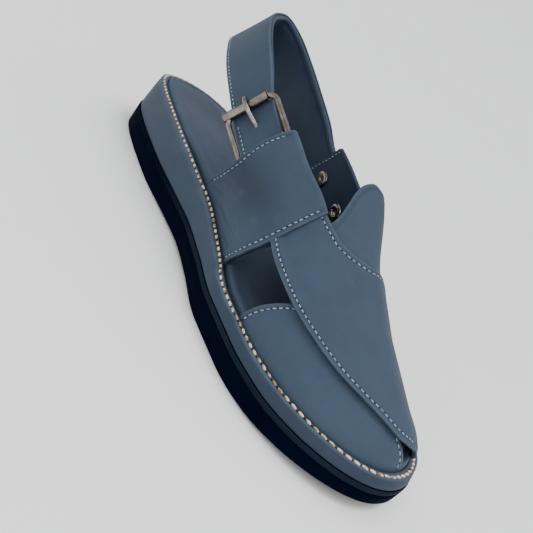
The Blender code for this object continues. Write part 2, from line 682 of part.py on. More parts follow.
def strap_ring(travel):
    """The strap's cross-section: a band with chamfered long edges, bowed where it hugs the last."""
    at = strap_at(travel)
    half, deep, cut = at.wide / 2, at.thick / 2, STRAP_EDGE
    outer = [(half, deep - cut), (half - cut, deep), (half / 2, deep), (0, deep),
             (-half / 2, deep), (cut - half, deep), (-half, deep - cut)]
    outline = outer + [(across, -off) for across, off in outer[::-1]]
    return [at.centre + at.axis * across + at.out * (off - at.bow * (across / half) ** 2)
            for across, off in outline]


def make_heel_strap():
    """Padded strap from the pocket round the heel to the inner quarter, slotted and drilled."""
    rings = [strap_ring(travel) for travel in np.linspace(0, STRAP_TRAVEL[-1], STRAP_STATIONS)]
    strap = add_object("heel_strap", loft(rings), material("strap_leather", BLUE_LEATHER, 0.55))
    boolean(strap, slot_cutter(), "DIFFERENCE")
    return strap


# Buckle

def roller_travel():
    """Travel along the strap at which it passes under the roller."""
    lateral = STRAP[:STRAP_STATIONS // 2]
    x = ROLLER_ALONG * SEAM_LENGTH - HEEL_REST_X
    return float(np.interp(-x, -lateral[:, 0], STRAP_TRAVEL[:STRAP_STATIONS // 2]))


ROLLER_AT = roller_travel()
BAR_AT = ROLLER_AT - BUCKLE_LENGTH
ROLLER_BORE = WIRE / 2 + FIT
ROLLER_RADIUS = ROLLER_BORE + ROLLER_WALL


def buckle_frame_axes():
    """Bar centre, roller centre, width axis and half width to the legs' middles."""
    bar, roller = strap_at(BAR_AT), strap_at(ROLLER_AT)
    low = bar.centre - bar.out * (bar.thick / 2 + bar.bow + BAR_DROP + BUCKLE_FIT + WIRE / 2)
    high = roller.centre + roller.out * (roller.thick / 2 + BUCKLE_FIT + ROLLER_RADIUS)
    axis = bar.axis + roller.axis
    axis -= (high - low) * np.dot(axis, high - low) / np.dot(high - low, high - low)
    axis /= np.linalg.norm(axis)
    widest = 0
    for way in np.linspace(0, 1, 9):    # the legs pass the strap's widest place between bar and roller
        at, middle = strap_at(BAR_AT + BUCKLE_LENGTH * way), low + (high - low) * way
        for side in (-1, 1):
            edge = at.centre + at.axis * side * at.wide / 2 - middle
            widest = max(widest, abs(np.dot(edge, axis)))
    return low, high, axis, widest + LEG_ROOM + WIRE / 2


def wire(name, points, radius, closed, finish, radii=None):
    """A round wire through the points, as one closed mesh."""
    curve = bpy.data.curves.new(name, "CURVE")
    curve.dimensions = "3D"
    curve.bevel_depth = radius
    curve.bevel_resolution = 3
    curve.use_fill_caps = not closed
    spline = curve.splines.new("POLY")
    spline.points.add(len(points) - 1)
    for i, point in enumerate(points):
        spline.points[i].co = (*point, 1.0)
        spline.points[i].radius = radii[i] if radii else 1.0
    spline.use_cyclic_u = closed
    thing = bpy.data.objects.new(name + "_curve", curve)
    bpy.context.scene.collection.objects.link(thing)
    graph = bpy.context.evaluated_depsgraph_get()
    mesh = bpy.data.meshes.new_from_object(thing.evaluated_get(graph))
    bm = bmesh.new()
    bm.from_mesh(mesh)
    bpy.data.objects.remove(thing)
    return add_object(name, bm, finish)


def make_buckle_frame(finish):
    """Rounded wire frame, with the bar at the front and the roller's rod at the rear."""
    bar, roller, axis, half = buckle_frame_axes()
    ahead = (bar - roller) / np.linalg.norm(bar - roller)
    corner, turns = WIRE_CORNER, 5
    points = []
    for centre, forward, side in ((roller, -1, -1), (roller, -1, 1), (bar, 1, 1), (bar, 1, -1)):
        pivot = centre - ahead * forward * corner + axis * side * (half - corner)
        start = 1.0 if forward * side > 0 else 0.0
        for k in range(turns + 1):
            turn = abs(start - k / turns) * math.pi / 2
            points.append(pivot + corner * (ahead * forward * math.cos(turn) + axis * side * math.sin(turn)))
    return wire("buckle_frame", points, WIRE / 2, True, finish)


def make_roller(finish):
    """A rolled tube with an open seam, turning on the frame's rear rod."""
    bar, roller, axis, half = buckle_frame_axes()
    ahead = (bar - roller) / np.linalg.norm(bar - roller)
    out = np.cross(axis, ahead)
    out *= np.sign(np.dot(out, strap_at(ROLLER_AT).out))
    seam = ROLLER_SEAM / ROLLER_RADIUS
    turns = np.linspace(seam / 2, 2 * math.pi - seam / 2, 25)
    profile = [(ROLLER_RADIUS * math.cos(a), ROLLER_RADIUS * math.sin(a)) for a in turns]
    profile += [(ROLLER_BORE * math.cos(a), ROLLER_BORE * math.sin(a)) for a in turns[::-1]]
    reach = half - WIRE_CORNER
    rings = [[roller + axis * side * reach + ahead * u - out * v for u, v in profile] for side in (-1, 1)]
    return add_object("buckle_roller", loft(rings), finish)


def prong_axes():
    """Strap's middle over the bar, direction to the one under the roller, normal and distance."""
    bar, roller = strap_at(BAR_AT), strap_at(ROLLER_AT)
    span = roller.centre - bar.centre
    back = span / np.linalg.norm(span)
    out = bar.out + roller.out
    out -= back * np.dot(out, back)
    return bar.centre, back, out / np.linalg.norm(out), np.linalg.norm(span)


def make_prong(finish):
    """The prong: hooked under the bar, up through the slot and over the roller."""
    bar, back, out, reach = prong_axes()
    strap = STRAP_END_THICK / 2 + BUCKLE_FIT
    thin = 0.5
    hook = WIRE / 2 + 2 * FIT + PRONG_WIRE / 2 * thin
    level = -strap - strap_at(BAR_AT).bow - BAR_DROP - WIRE / 2
    over = strap + 2 * ROLLER_RADIUS + BUCKLE_FIT + PRONG_WIRE / 2
    below = -strap - PRONG_WIRE / 2
    route, size = [], []
    for k in range(5):
        turn = math.pi * (1 + k / 8)
        route.append((hook * math.cos(turn), level + hook * math.sin(turn)))
        size.append(thin)
    half_slot = SLOT_LENGTH / 2 - PRONG_WIRE
    route += [(SLOT_AT * 0.4, level - hook * 0.62), (SLOT_AT - half_slot, below),
              (SLOT_AT + half_slot, strap + PRONG_WIRE * 0.4),
              (reach - ROLLER_RADIUS * 1.6, over - PRONG_WIRE * 0.5), (reach - ROLLER_RADIUS * 0.5, over),
              (reach + ROLLER_RADIUS * 0.4, over), (reach + PRONG_TIP * 0.75, over - PRONG_WIRE * 0.4),
              (reach + PRONG_TIP, over - PRONG_WIRE * 0.8)]
    size += [0.8, 0.95, 1.0, 1.0, 1.0, 1.0, 0.9, 0.6]
    points = [bar + back * u + out * h for u, h in route]
    return wire("buckle_prong", points, PRONG_WIRE / 2, False, finish, size)


def slot_cutter():
    """The strap's punched slot, where the prong comes up."""
    bar, back, out, _ = prong_axes()
    bm = bmesh.new()
    bmesh.ops.create_cube(bm, size=1.0)
    size = Matrix.Diagonal((SLOT_LENGTH, SLOT_WIDTH, 3 * STRAP_THICK, 1.0))
    place = frame(bar + back * SLOT_AT, back, np.cross(out, back))
    bmesh.ops.transform(bm, matrix=place @ size, verts=bm.verts)
    return add_object("strap_slot", bm, group=cutters)


# Rivets

def rivet_profile(low, high, hollow):
    """Half profile of a rivet, top to bottom: head, shank and the head on the foot's side."""
    head, shank, cap = RIVET_HEAD, RIVET_SHANK, RIVET_CAP
    profile = [(0, high + cap), (head * 0.75, high + cap), (head, high + cap * 0.5), (head, high),
               (shank, high), (shank, low), (head, low), (head, low - cap * 0.5),
               (head * 0.82, low - cap)]
    if hollow:
        return profile + [(head * 0.62, low - cap), (head * 0.45, low - cap * 0.2), (0, low - cap * 0.2)]
    return profile + [(0, low - cap)]


def make_rivet(name, along, around, hollow, finish):
    """A rivet through the inner quarter and the strap's end, with the holes that it fills."""
    point, out, up = last_frame(along, around)
    travel = STRAP_TRAVEL[STRAP_STATIONS // 2:]
    x = STRAP[STRAP_STATIONS // 2:, 0]
    strap = strap_at(float(np.interp(point[0], x, travel)))
    top = np.dot(strap.centre - point, out) + strap.thick / 2 + FIT
    place = frame(point, np.cross(up, out), up)
    mesh = bpy.data.meshes.new(name)
    profile = rivet_profile(-FIT, top, hollow)
    mesh.from_pydata([(x, 0, z) for x, z in profile], [(i, i + 1) for i in range(len(profile) - 1)], [])
    thing = bpy.data.objects.new(name, mesh)
    mesh.materials.append(finish)
    parts.objects.link(thing)
    thing.matrix_world = place
    turned = thing.modifiers.new("turned", "SCREW")
    turned.steps = turned.render_steps = 24
    turned.use_merge_vertices = True
    turned.merge_threshold = 0.00005
    turned.use_normal_calculate = True
    bm = bmesh.new()
    bore = RIVET_SHANK + RIVET_ROOM
    bmesh.ops.create_cone(bm, cap_ends=True, segments=20, radius1=bore, radius2=bore, depth=0.02)
    bmesh.ops.transform(bm, matrix=place, verts=bm.verts)
    return thing, add_object(name + "_hole", bm, group=cutters)


make_outsole()
make_rand()
make_midsole()
make_insole()
the_upper = make_upper()
the_strap = make_heel_strap()
metal = material("antique_nickel", OLD_NICKEL, 0.35, 1.0)
make_buckle_frame(metal)
make_roller(metal)
make_prong(metal)
for rivet_name, rivet_along, rivet_around in RIVETS:
    hollow_end = rivet_name == "rivet_front"
    _, hole = make_rivet(rivet_name, rivet_along, rivet_around, hollow_end, metal)
    boolean(the_upper, hole, "DIFFERENCE")
    boolean(the_strap, hole, "DIFFERENCE")
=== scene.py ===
import math
import bmesh
import bpy
import numpy as np
from mathutils import Matrix, Vector


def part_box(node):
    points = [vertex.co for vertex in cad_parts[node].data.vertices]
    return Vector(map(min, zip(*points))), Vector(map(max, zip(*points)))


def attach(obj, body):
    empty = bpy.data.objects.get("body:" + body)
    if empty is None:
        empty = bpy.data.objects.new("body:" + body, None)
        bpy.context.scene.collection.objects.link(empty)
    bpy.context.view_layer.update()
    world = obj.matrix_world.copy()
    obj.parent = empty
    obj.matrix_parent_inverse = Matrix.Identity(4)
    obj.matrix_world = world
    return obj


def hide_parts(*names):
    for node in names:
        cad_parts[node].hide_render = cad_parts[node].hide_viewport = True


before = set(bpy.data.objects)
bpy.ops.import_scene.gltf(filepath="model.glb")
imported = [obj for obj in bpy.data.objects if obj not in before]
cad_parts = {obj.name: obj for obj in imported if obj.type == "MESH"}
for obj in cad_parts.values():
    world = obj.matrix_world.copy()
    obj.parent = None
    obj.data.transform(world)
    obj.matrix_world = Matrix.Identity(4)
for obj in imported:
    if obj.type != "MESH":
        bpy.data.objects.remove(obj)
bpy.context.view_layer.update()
print("frame loaded,", len(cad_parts), "nodes")

mm = 0.001

# the camera keeps the photo's angle, tipped over by the roll
view = {"place": (0.4043, -0.2753, 0.1691), "azimuth": 46.48, "elevation": 20.78, "roll": 40.29,
        "lens": 60.78}

camera = bpy.data.objects.new("camera", bpy.data.cameras.new("camera"))
bpy.context.scene.collection.objects.link(camera)
turn = (Matrix.Rotation(math.radians(view["azimuth"]), 4, "Z")
        @ Matrix.Rotation(math.radians(90 - view["elevation"]), 4, "X")
        @ Matrix.Rotation(math.radians(view["roll"]), 4, "Z"))
camera.matrix_world = Matrix.Translation(view["place"]) @ turn
camera.data.lens = view["lens"]
camera.data.clip_start = 0.01
bpy.context.scene.camera = camera
print("camera set")

# sole: reach is how far a face stands outside the rim's stitch line
sole = {"treadReach": 3.2 * mm, "outReach": 3.6 * mm, "jointDepth": 12.5 * mm, "beadDepth": 2.4 * mm,
        "beadNick": 0.55 * mm, "treadRound": 0.9 * mm, "wrapReach": 3.1 * mm, "rimReach": 2.1 * mm,
        "rimLip": 2.0 * mm, "wrapLeather": 1.5 * mm, "foreStack": 17.4 * mm, "heelStack": 32.2 * mm,
        "archRise": 1.2 * mm, "toeSpring": 5.0 * mm, "rib": 5.2 * mm, "ribCut": 0.7 * mm,
        "ledgeFrom": 0.28, "steps": 120}

soleLow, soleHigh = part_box("outsole")
seamLength = soleHigh.x - soleLow.x - 2 * sole["outReach"]
ballWidth = soleHigh.y - soleLow.y - 2 * sole["outReach"]
heelX = soleLow.x + sole["outReach"]

# along the seam, then the lateral and the medial half width as shares of the ball width
outline = np.array([
    (0.000, 0.000, 0.000), (0.018, 0.196, 0.172), (0.080, 0.301, 0.303), (0.180, 0.353, 0.342),
    (0.310, 0.381, 0.318), (0.440, 0.381, 0.309), (0.565, 0.434, 0.369), (0.675, 0.498, 0.452),
    (0.775, 0.503, 0.497), (0.850, 0.470, 0.474), (0.925, 0.364, 0.392), (0.975, 0.220, 0.240),
    (1.000, 0.000, 0.000)])
# along, then shares of the heel lift, the outsole's depth, the arch and the toe spring
sideLine = np.array([
    (0.00, 1.00, 1.01, 0.0, 0.00), (0.12, 0.97, 1.00, 0.0, 0.00), (0.26, 0.88, 1.00, 0.0, 0.00),
    (0.40, 0.66, 1.00, 0.8, 0.00), (0.51, 0.44, 1.00, 1.0, 0.00), (0.62, 0.18, 1.00, 0.3, 0.00),
    (0.68, 0.06, 0.99, 0.0, 0.00), (0.80, 0.00, 0.95, 0.0, 0.00), (0.88, 0.00, 0.92, 0.0, 0.20),
    (1.00, 0.06, 1.05, 0.0, 1.00)])

# the last: along, ridge height, ridge offset, then crown and fall of the outer and the inner wall
last = {"ridgeRise": 64.0 * mm, "fit": 0.3 * mm, "leather": 1.8 * mm}
lastRows = np.array([
    (0.330, 1.040, 0.020, 2.00, 2.00, 2.90, 2.60), (0.440, 1.000, 0.023, 2.00, 2.00, 2.80, 2.50),
    (0.547, 0.925, 0.026, 1.80, 1.80, 2.20, 1.90), (0.590, 0.880, 0.028, 1.70, 1.70, 1.90, 1.70),
    (0.637, 0.790, 0.029, 1.65, 1.65, 1.80, 1.60), (0.692, 0.675, 0.030, 1.62, 1.60, 1.70, 1.25),
    (0.754, 0.555, 0.032, 1.60, 1.58, 1.60, 1.00), (0.809, 0.448, 0.034, 1.62, 1.55, 1.55, 0.90),
    (0.874, 0.330, 0.040, 1.68, 1.50, 1.55, 0.95), (0.933, 0.226, 0.036, 1.75, 1.50, 1.60, 1.10),
    (0.969, 0.145, 0.028, 1.90, 1.60, 1.80, 1.40), (1.000, 0.000, 0.020, 2.00, 1.80, 2.00, 1.80)])


def evenCurve(xs, ys):
    # smooth and without overshoot, like a draughtsman's curve through the table's rows
    x, y = np.asarray(xs, float), np.asarray(ys, float)
    gap, rise = np.diff(x), np.diff(y) / np.diff(x)
    slope = np.zeros_like(y)
    same = rise[1:] * rise[:-1] > 0
    slope[1:-1] = np.where(same, 2 * rise[1:] * rise[:-1] / np.where(same, rise[1:] + rise[:-1], 1), 0)
    slope[0], slope[-1] = rise[0], rise[-1]

    def at(value):
        value = np.clip(np.asarray(value, float), x[0], x[-1])
        k = np.clip(np.searchsorted(x, value, side="right") - 1, 0, len(gap) - 1)
        t = (value - x[k]) / gap[k]
        return (y[k] * (1 + 2 * t) * (1 - t) ** 2 + y[k + 1] * t * t * (3 - 2 * t)
                + gap[k] * t * (1 - t) * (slope[k] * (1 - t) - slope[k + 1] * t))
    return at


def lineThrough(rows, scale=None):
    # a smooth line through the rows, run over evenly from 0 to 1
    rows = np.asarray(rows, float)
    scale = np.array((seamLength, ballWidth)) if scale is None else scale
    chord = np.r_[0, np.cumsum(np.linalg.norm(np.diff(rows * scale, axis=0), axis=1))]
    slope = np.gradient(rows, chord, axis=0)
    fine = np.linspace(0, chord[-1], 24 * len(rows))
    k = np.clip(np.searchsorted(chord, fine, side="right") - 1, 0, len(chord) - 2)
    gap = (chord[k + 1] - chord[k])[:, None]
    t = (fine[:, None] - chord[k][:, None]) / gap
    line = (rows[k] * (1 + 2 * t) * (1 - t) ** 2 + rows[k + 1] * t * t * (3 - 2 * t)
            + gap * t * (1 - t) * (slope[k] * (1 - t) - slope[k + 1] * t))
    travel = np.r_[0, np.cumsum(np.linalg.norm(np.diff(line * scale, axis=0), axis=1))]
    return lambda s: np.stack([np.interp(np.asarray(s) * travel[-1], travel, c) for c in line.T], axis=-1)


def ramp(value, start, end):
    t = np.clip((value - start) / (end - start), 0, 1)
    return t * t * (3 - 2 * t)


def bump(distance, width):
    return np.exp(-(distance / width) ** 2)


lateralSquare = evenCurve(outline[:, 0], outline[:, 1] ** 2)
medialSquare = evenCurve(outline[:, 0], outline[:, 2] ** 2)
rimShare, jointShare, archShare, springShare = [evenCurve(sideLine[:, 0], sideLine[:, column])
                                                for column in (1, 2, 3, 4)]
ridgeSquare = evenCurve(lastRows[:, 0], lastRows[:, 1] ** 2)
ridgeSide = evenCurve(lastRows[:, 0], lastRows[:, 2])
wallCurves = [evenCurve(lastRows[:, 0], lastRows[:, column]) for column in (3, 4, 5, 6)]


def shareOf(x):
    return (x - heelX) / seamLength


def rimZ(x):
    return sole["foreStack"] + (sole["heelStack"] - sole["foreStack"]) * rimShare(shareOf(x))


def jointZ(x):
    return sole["jointDepth"] * jointShare(shareOf(x))


def treadZ(x):
    return sole["archRise"] * archShare(shareOf(x)) + sole["toeSpring"] * springShare(shareOf(x))


def seamLoop(steps):
    # heel, outer side, toe, inner side: the line of the welt stitches
    along = (1 - np.cos(np.linspace(0, math.pi, steps + 1))) / 2
    x = along * seamLength + heelX
    outer = np.stack([x, -ballWidth * np.sqrt(lateralSquare(along))], axis=1)
    inner = np.stack([x, ballWidth * np.sqrt(medialSquare(along))], axis=1)
    return np.vstack([outer, inner[-2:0:-1]])


def pushedOut(loop, distance):
    run = np.roll(loop, -1, axis=0) - np.roll(loop, 1, axis=0)
    out = np.stack([run[:, 1], -run[:, 0]], axis=1)
    return loop + out / np.linalg.norm(out, axis=1)[:, None] * np.reshape(distance, (-1, 1))


seam = seamLoop(sole["steps"])
footSteps = 252
footprint = pushedOut(seamLoop(footSteps), -(sole["rimLip"] + last["fit"] + last["leather"]))
toeX = footprint[footSteps, 0]
outerFoot = footprint[:footSteps + 1]
innerFoot = np.vstack([footprint[footSteps:], footprint[:1]])[::-1]


def footSide(x, lateral):
    side = outerFoot if lateral else innerFoot
    return np.interp(x, side[:, 0], side[:, 1])


def lastSection(x):
    start, tip, raw = lastRows[-3, 0], shareOf(toeX), shareOf(x)
    at = np.where(raw < start, raw, start + (raw - start) * (1 - start) / (tip - start))
    foot = rimZ(x) + last["fit"]
    ridge = foot + last["ridgeRise"] * np.sqrt(np.maximum(ridgeSquare(at), 0))
    return foot, ridge, ballWidth * ridgeSide(at), [wall(at) for wall in wallCurves]


def onLast(along, around):
    # around runs from 0 at the outer rim over the ridge to 1 at the inner rim
    x = np.minimum(np.asarray(along, float) * seamLength + heelX, toeX - 1e-5)
    around = np.clip(np.asarray(around, float), 0, 1)
    foot, ridge, middle, walls = lastSection(x)
    outer = around < 0.5
    turn = np.minimum(around, 1 - around) * math.pi
    crown = np.where(outer, walls[0], walls[2])
    fall = np.where(outer, walls[1], walls[3])
    edge = np.where(outer, footSide(x, True), footSide(x, False))
    y = middle + (edge - middle) * np.cos(turn) ** (2 / crown)
    z = foot + (ridge - foot) * np.sin(turn) ** (2 / fall)
    return np.stack([x + 0 * y, y, z], axis=-1)


def overPlan(x, y):
    # height of the last over a point of the plan
    x = np.minimum(x, toeX - 1e-5)
    foot, ridge, middle, walls = lastSection(x)
    outer = y < middle
    crown, fall = np.where(outer, walls[0], walls[2]), np.where(outer, walls[1], walls[3])
    edge = np.where(outer, footSide(x, True), footSide(x, False))
    reach = np.clip(np.abs((y - middle) / (edge - middle)), 0, 1)
    return np.stack([x, y, foot + (ridge - foot) * (1 - reach ** crown) ** (1 / fall)], axis=-1)


def unit(vectors):
    return vectors / (np.linalg.norm(vectors, axis=-1, keepdims=True) + 1e-12)


print("last measured")


# materials

def newMaterial(name):
    made = bpy.data.materials.new(name)
    made.use_nodes = True
    nodes, links = made.node_tree.nodes, made.node_tree.links
    return made, nodes, links, nodes["Principled BSDF"]


def addNoise(nodes, links, source, scale, detail=3.0, rough=0.55):
    noise = nodes.new("ShaderNodeTexNoise")
    noise.inputs["Scale"].default_value = scale
    noise.inputs["Detail"].default_value = detail
    noise.inputs["Roughness"].default_value = rough
    links.new(source, noise.inputs["Vector"])
    return noise.outputs["Fac"]


def addRange(nodes, links, value, low, high, toLow, toHigh):
    span = nodes.new("ShaderNodeMapRange")
    for socket, number in zip(("From Min", "From Max", "To Min", "To Max"), (low, high, toLow, toHigh)):
        span.inputs[socket].default_value = number
    links.new(value, span.inputs["Value"])
    return span.outputs["Result"]


def addMix(nodes, links, factor, first, second, blend="MIX"):
    mix = nodes.new("ShaderNodeMix")
    mix.data_type = "RGBA"
    mix.blend_type = blend
    for socket, value in ((mix.inputs[0], factor), (mix.inputs[6], first), (mix.inputs[7], second)):
        if isinstance(value, (int, float)):
            socket.default_value = value
        elif isinstance(value, tuple):
            socket.default_value = (*value, 1.0)
        else:
            links.new(value, socket)
    return mix.outputs[2]


def addBump(nodes, links, heights):
    before = None
    for height, distance, strength in heights:
        dent = nodes.new("ShaderNodeBump")
        dent.inputs["Distance"].default_value = distance
        dent.inputs["Strength"].default_value = strength
        links.new(height, dent.inputs["Height"])
        if before:
            links.new(before, dent.inputs["Normal"])
        before = dent.outputs["Normal"]
    return before


def leather(name, tone):
    # nubuck: cloudy colour, a fine nap, paler where the wear-and-light attribute is set (rubbed edges and scuffs,
    # and painted light by the footbed's open toe), darker where the dirt-and-shade attribute is set (real stains,
    # and painted shade)
    made, nodes, links, shader = newMaterial(name)
    place = nodes.new("ShaderNodeTexCoord").outputs["Object"]
    clouds = addNoise(nodes, links, place, 38, 4, 0.6)
    patches = addNoise(nodes, links, place, 150, 5, 0.65)
    nap = addNoise(nodes, links, place, 2600, 2, 0.7)
    pores = nodes.new("ShaderNodeTexVoronoi")
    pores.inputs["Scale"].default_value = 1500
    links.new(place, pores.inputs["Vector"])
    share = addRange(nodes, links, clouds, 0.3, 0.7, 0, 1)
    cloudy = addMix(nodes, links, share, tone["dark"], tone["base"])
    share = addRange(nodes, links, patches, 0.45, 0.8, 0, tone["patch"])
    patchy = addMix(nodes, links, share, cloudy, tone["light"])
    # paler towards the worn colour where the wear-and-light attribute is set: rubbed edges and scuffs, and painted
    # light by the footbed's open toe
    wear = nodes.new("ShaderNodeAttribute")
    wear.attribute_name = "wear"
    rubbedAndLit = nodes.new("ShaderNodeMath")
    rubbedAndLit.operation = "MULTIPLY"
    links.new(wear.outputs["Fac"], rubbedAndLit.inputs[0])
    links.new(addRange(nodes, links, patches, 0.3, 0.6, 0.35, 1.0), rubbedAndLit.inputs[1])
    wornAndLit = addMix(nodes, links, rubbedAndLit.outputs[0], patchy, tone["wornAndLit"])
    # darker towards the dirt colour where the dirt-and-shade attribute is set: real stains on the footbed, and
    # painted shade on the wrap and the upper
    dirt = nodes.new("ShaderNodeAttribute")
    dirt.attribute_name = "dirt"
    links.new(addMix(nodes, links, dirt.outputs["Fac"], wornAndLit, tone["dirt"]), shader.inputs["Base Color"])
    links.new(addRange(nodes, links, patches, 0.3, 0.75, tone["rough"] - 0.07, tone["rough"] + 0.06),
              shader.inputs["Roughness"])
    shader.inputs["Sheen Weight"].default_value = tone["sheen"]
    shader.inputs["Sheen Roughness"].default_value = 0.5
    shader.inputs["Specular IOR Level"].default_value = tone["gloss"]
    heights = [(patches, 0.00030, 0.35), (pores.outputs["Distance"], 0.00012, 0.35), (nap, 0.00010, 0.55)]
    links.new(addBump(nodes, links, heights), shader.inputs["Normal"])
    return made


def rubber(name, tone):
    made, nodes, links, shader = newMaterial(name)
    place = nodes.new("ShaderNodeTexCoord").outputs["Object"]
    clouds = addNoise(nodes, links, place, 60, 4, 0.6)
    grain = addNoise(nodes, links, place, 1900, 2, 0.6)
    share = addRange(nodes, links, clouds, 0.35, 0.75, 0, 1)
    colour = addMix(nodes, links, share, tone["base"], tone["dust"])
    if "fade" in tone:  # another colour towards the heel
        start, end, other = tone["fade"]
        split = nodes.new("ShaderNodeSeparateXYZ")
        links.new(place, split.inputs["Vector"])
        share = addRange(nodes, links, split.outputs["X"], start, end, 0, 1)
        colour = addMix(nodes, links, share, other, colour)
    links.new(colour, shader.inputs["Base Color"])
    links.new(addRange(nodes, links, clouds, 0.3, 0.7, 0.55, 0.72), shader.inputs["Roughness"])
    shader.inputs["Specular IOR Level"].default_value = tone["gloss"]
    shader.inputs["IOR"].default_value = tone.get("bend", 1.45)
    links.new(addBump(nodes, links, [(clouds, 0.0003, 0.2), (grain, 0.00012, 0.5)]), shader.inputs["Normal"])
    return made


def metal(name, tone):
    # antique nickel: bright where it rubs, brown where it doesn't
    made, nodes, links, shader = newMaterial(name)
    place = nodes.new("ShaderNodeTexCoord").outputs["Object"]
    stains = addNoise(nodes, links, place, 160, 4, 0.6)
    scratches = nodes.new("ShaderNodeMapping")
    scratches.inputs["Scale"].default_value = (1.0, 6.0, 1.0)
    links.new(place, scratches.inputs["Vector"])
    scuffs = addNoise(nodes, links, scratches.outputs["Vector"], 1800, 3, 0.6)
    share = addRange(nodes, links, stains, 0.38, 0.62, 0, 1)
    links.new(addMix(nodes, links, share, tone["brown"], tone["bright"]), shader.inputs["Base Color"])
    links.new(addRange(nodes, links, stains, 0.35, 0.7, 0.30, 0.16), shader.inputs["Roughness"])
    shader.inputs["Metallic"].default_value = 1.0
    links.new(addBump(nodes, links, [(scuffs, 0.00004, 0.25)]), shader.inputs["Normal"])
    return made


def thread(name, tone):
    made, nodes, links, shader = newMaterial(name)
    place = nodes.new("ShaderNodeTexCoord").outputs["Object"]
    flecks = addNoise(nodes, links, place, tone["fleckScale"], 2, 0.5)
    twist = addNoise(nodes, links, place, 3200, 2, 0.7)
    share = addRange(nodes, links, flecks, 0.48, 0.60, 0, 1)
    links.new(addMix(nodes, links, share, tone["base"], tone["fleck"]), shader.inputs["Base Color"])
    shader.inputs["Roughness"].default_value = 0.75
    links.new(addBump(nodes, links, [(twist, 0.00015, 0.8)]), shader.inputs["Normal"])
    return made


# the worn colour also serves as painted light, and the dirt colour as painted shade
blue = {"dark": (0.030, 0.045, 0.070), "base": (0.035, 0.053, 0.081), "light": (0.042, 0.062, 0.093),
        "wornAndLit": (0.070, 0.097, 0.138), "dirt": (0.012, 0.017, 0.028),
        "patch": 0.5, "rough": 0.70, "sheen": 0.02, "gloss": 0.14}
blueLeather = leather("blueLeather", blue)
wrapLeather = leather("wrapLeather", {
    **blue, "dark": (0.024, 0.037, 0.059), "base": (0.029, 0.044, 0.069), "light": (0.036, 0.053, 0.081),
    "patch": 0.4, "rough": 0.64})
bedLeather = leather("bedLeather", {**blue, "base": (0.037, 0.056, 0.085), "patch": 0.3, "rough": 0.62})
# a darker copy of the blue: the strap's real dark lining, and painted shade on the tongue's inside, which is the
# same blue leather in shade
liningAndShade = leather("liningAndShade", {
    **blue, "dark": (0.011, 0.021, 0.038), "base": (0.015, 0.027, 0.049), "light": (0.021, 0.036, 0.062),
    "wornAndLit": (0.038, 0.056, 0.084), "dirt": (0.007, 0.010, 0.016), "rough": 0.62, "gloss": 0.18})
cutEdge = leather("cutEdge", {
    **blue, "dark": (0.016, 0.023, 0.036), "base": (0.026, 0.037, 0.056), "light": (0.040, 0.054, 0.078),
    "wornAndLit": (0.050, 0.068, 0.096), "rough": 0.7})
blackRubber = rubber("blackRubber", {
    "base": (0.0006, 0.0018, 0.0075), "dust": (0.0013, 0.0030, 0.0100), "gloss": 0.05, "bend": 1.15})
ledgeRubber = rubber("ledgeRubber", {
    "base": (0.0055, 0.0095, 0.0165), "dust": (0.010, 0.016, 0.026), "gloss": 0.06, "bend": 1.2,
    "fade": (0.050, 0.115, (0.0008, 0.0022, 0.0080))})
coreFoam = rubber("coreFoam", {"base": (0.020, 0.024, 0.030), "dust": (0.032, 0.036, 0.042), "gloss": 0.2})
needleHole = rubber("needleHole", {"base": (0.006, 0.009, 0.014), "dust": (0.010, 0.014, 0.020), "gloss": 0.1})
oldNickel = metal("oldNickel", {"brown": (0.120, 0.094, 0.080), "bright": (0.245, 0.214, 0.194)})
paleThread = thread("paleThread", {"base": (0.27, 0.34, 0.41), "fleck": (0.14, 0.19, 0.25), "fleckScale": 700})
creamThread = thread("creamThread", {"base": (0.66, 0.53, 0.36), "fleck": (0.24, 0.15, 0.08), "fleckScale": 380})
print("materials mixed")


# mesh helpers

def finishPiece(name, bm, finishes, replaced=(), smooth=40, attributes=None):
    mesh = bpy.data.meshes.new(name)
    bm.to_mesh(mesh)
    bm.free()
    for finish in finishes:
        mesh.materials.append(finish)
    for label, values in (attributes or {}).items():
        mesh.attributes.new(label, "FLOAT", "POINT").data.foreach_set("value", np.asarray(values, float))
    mesh.shade_smooth()
    mesh.set_sharp_from_angle(angle=math.radians(smooth))
    piece = bpy.data.objects.new(name, mesh)
    bpy.context.scene.collection.objects.link(piece)
    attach(piece, "root")
    for node in replaced:
        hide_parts(node)
    return piece


def sweepRings(rings, bm=None):
    # one ring of points is drawn, then extruded to each of the next
    bm = bm or bmesh.new()
    made = bmesh.ops.create_circle(bm, segments=len(rings[0]), radius=1.0)["verts"]
    ring = list(made)
    for vert, point in zip(ring, rings[0]):
        vert.co = point
    edges = list({edge for vert in ring for edge in vert.link_edges})
    loops = [ring]
    for points in rings[1:]:
        grown = bmesh.ops.extrude_edge_only(bm, edges=edges)["geom"]
        edges = [item for item in grown if isinstance(item, bmesh.types.BMEdge)]
        fresh = {item for item in grown if isinstance(item, bmesh.types.BMVert)}
        ring = [next(edge.other_vert(vert) for edge in vert.link_edges if edge.other_vert(vert) in fresh)
                for vert in ring]
        for vert, point in zip(ring, points):
            vert.co = point
        loops.append(ring)
    return bm, loops


def closeSweep(bm, first, last):
    # joins the last ring back to the first, for a profile run all the way round
    for a, b in zip(first, last):
        b.co = a.co
    bmesh.ops.remove_doubles(bm, verts=first + last, dist=1e-7)


def ringAt(reach, height):
    plan = pushedOut(seam, reach)
    return np.column_stack([plan, height(seam[:, 0])])


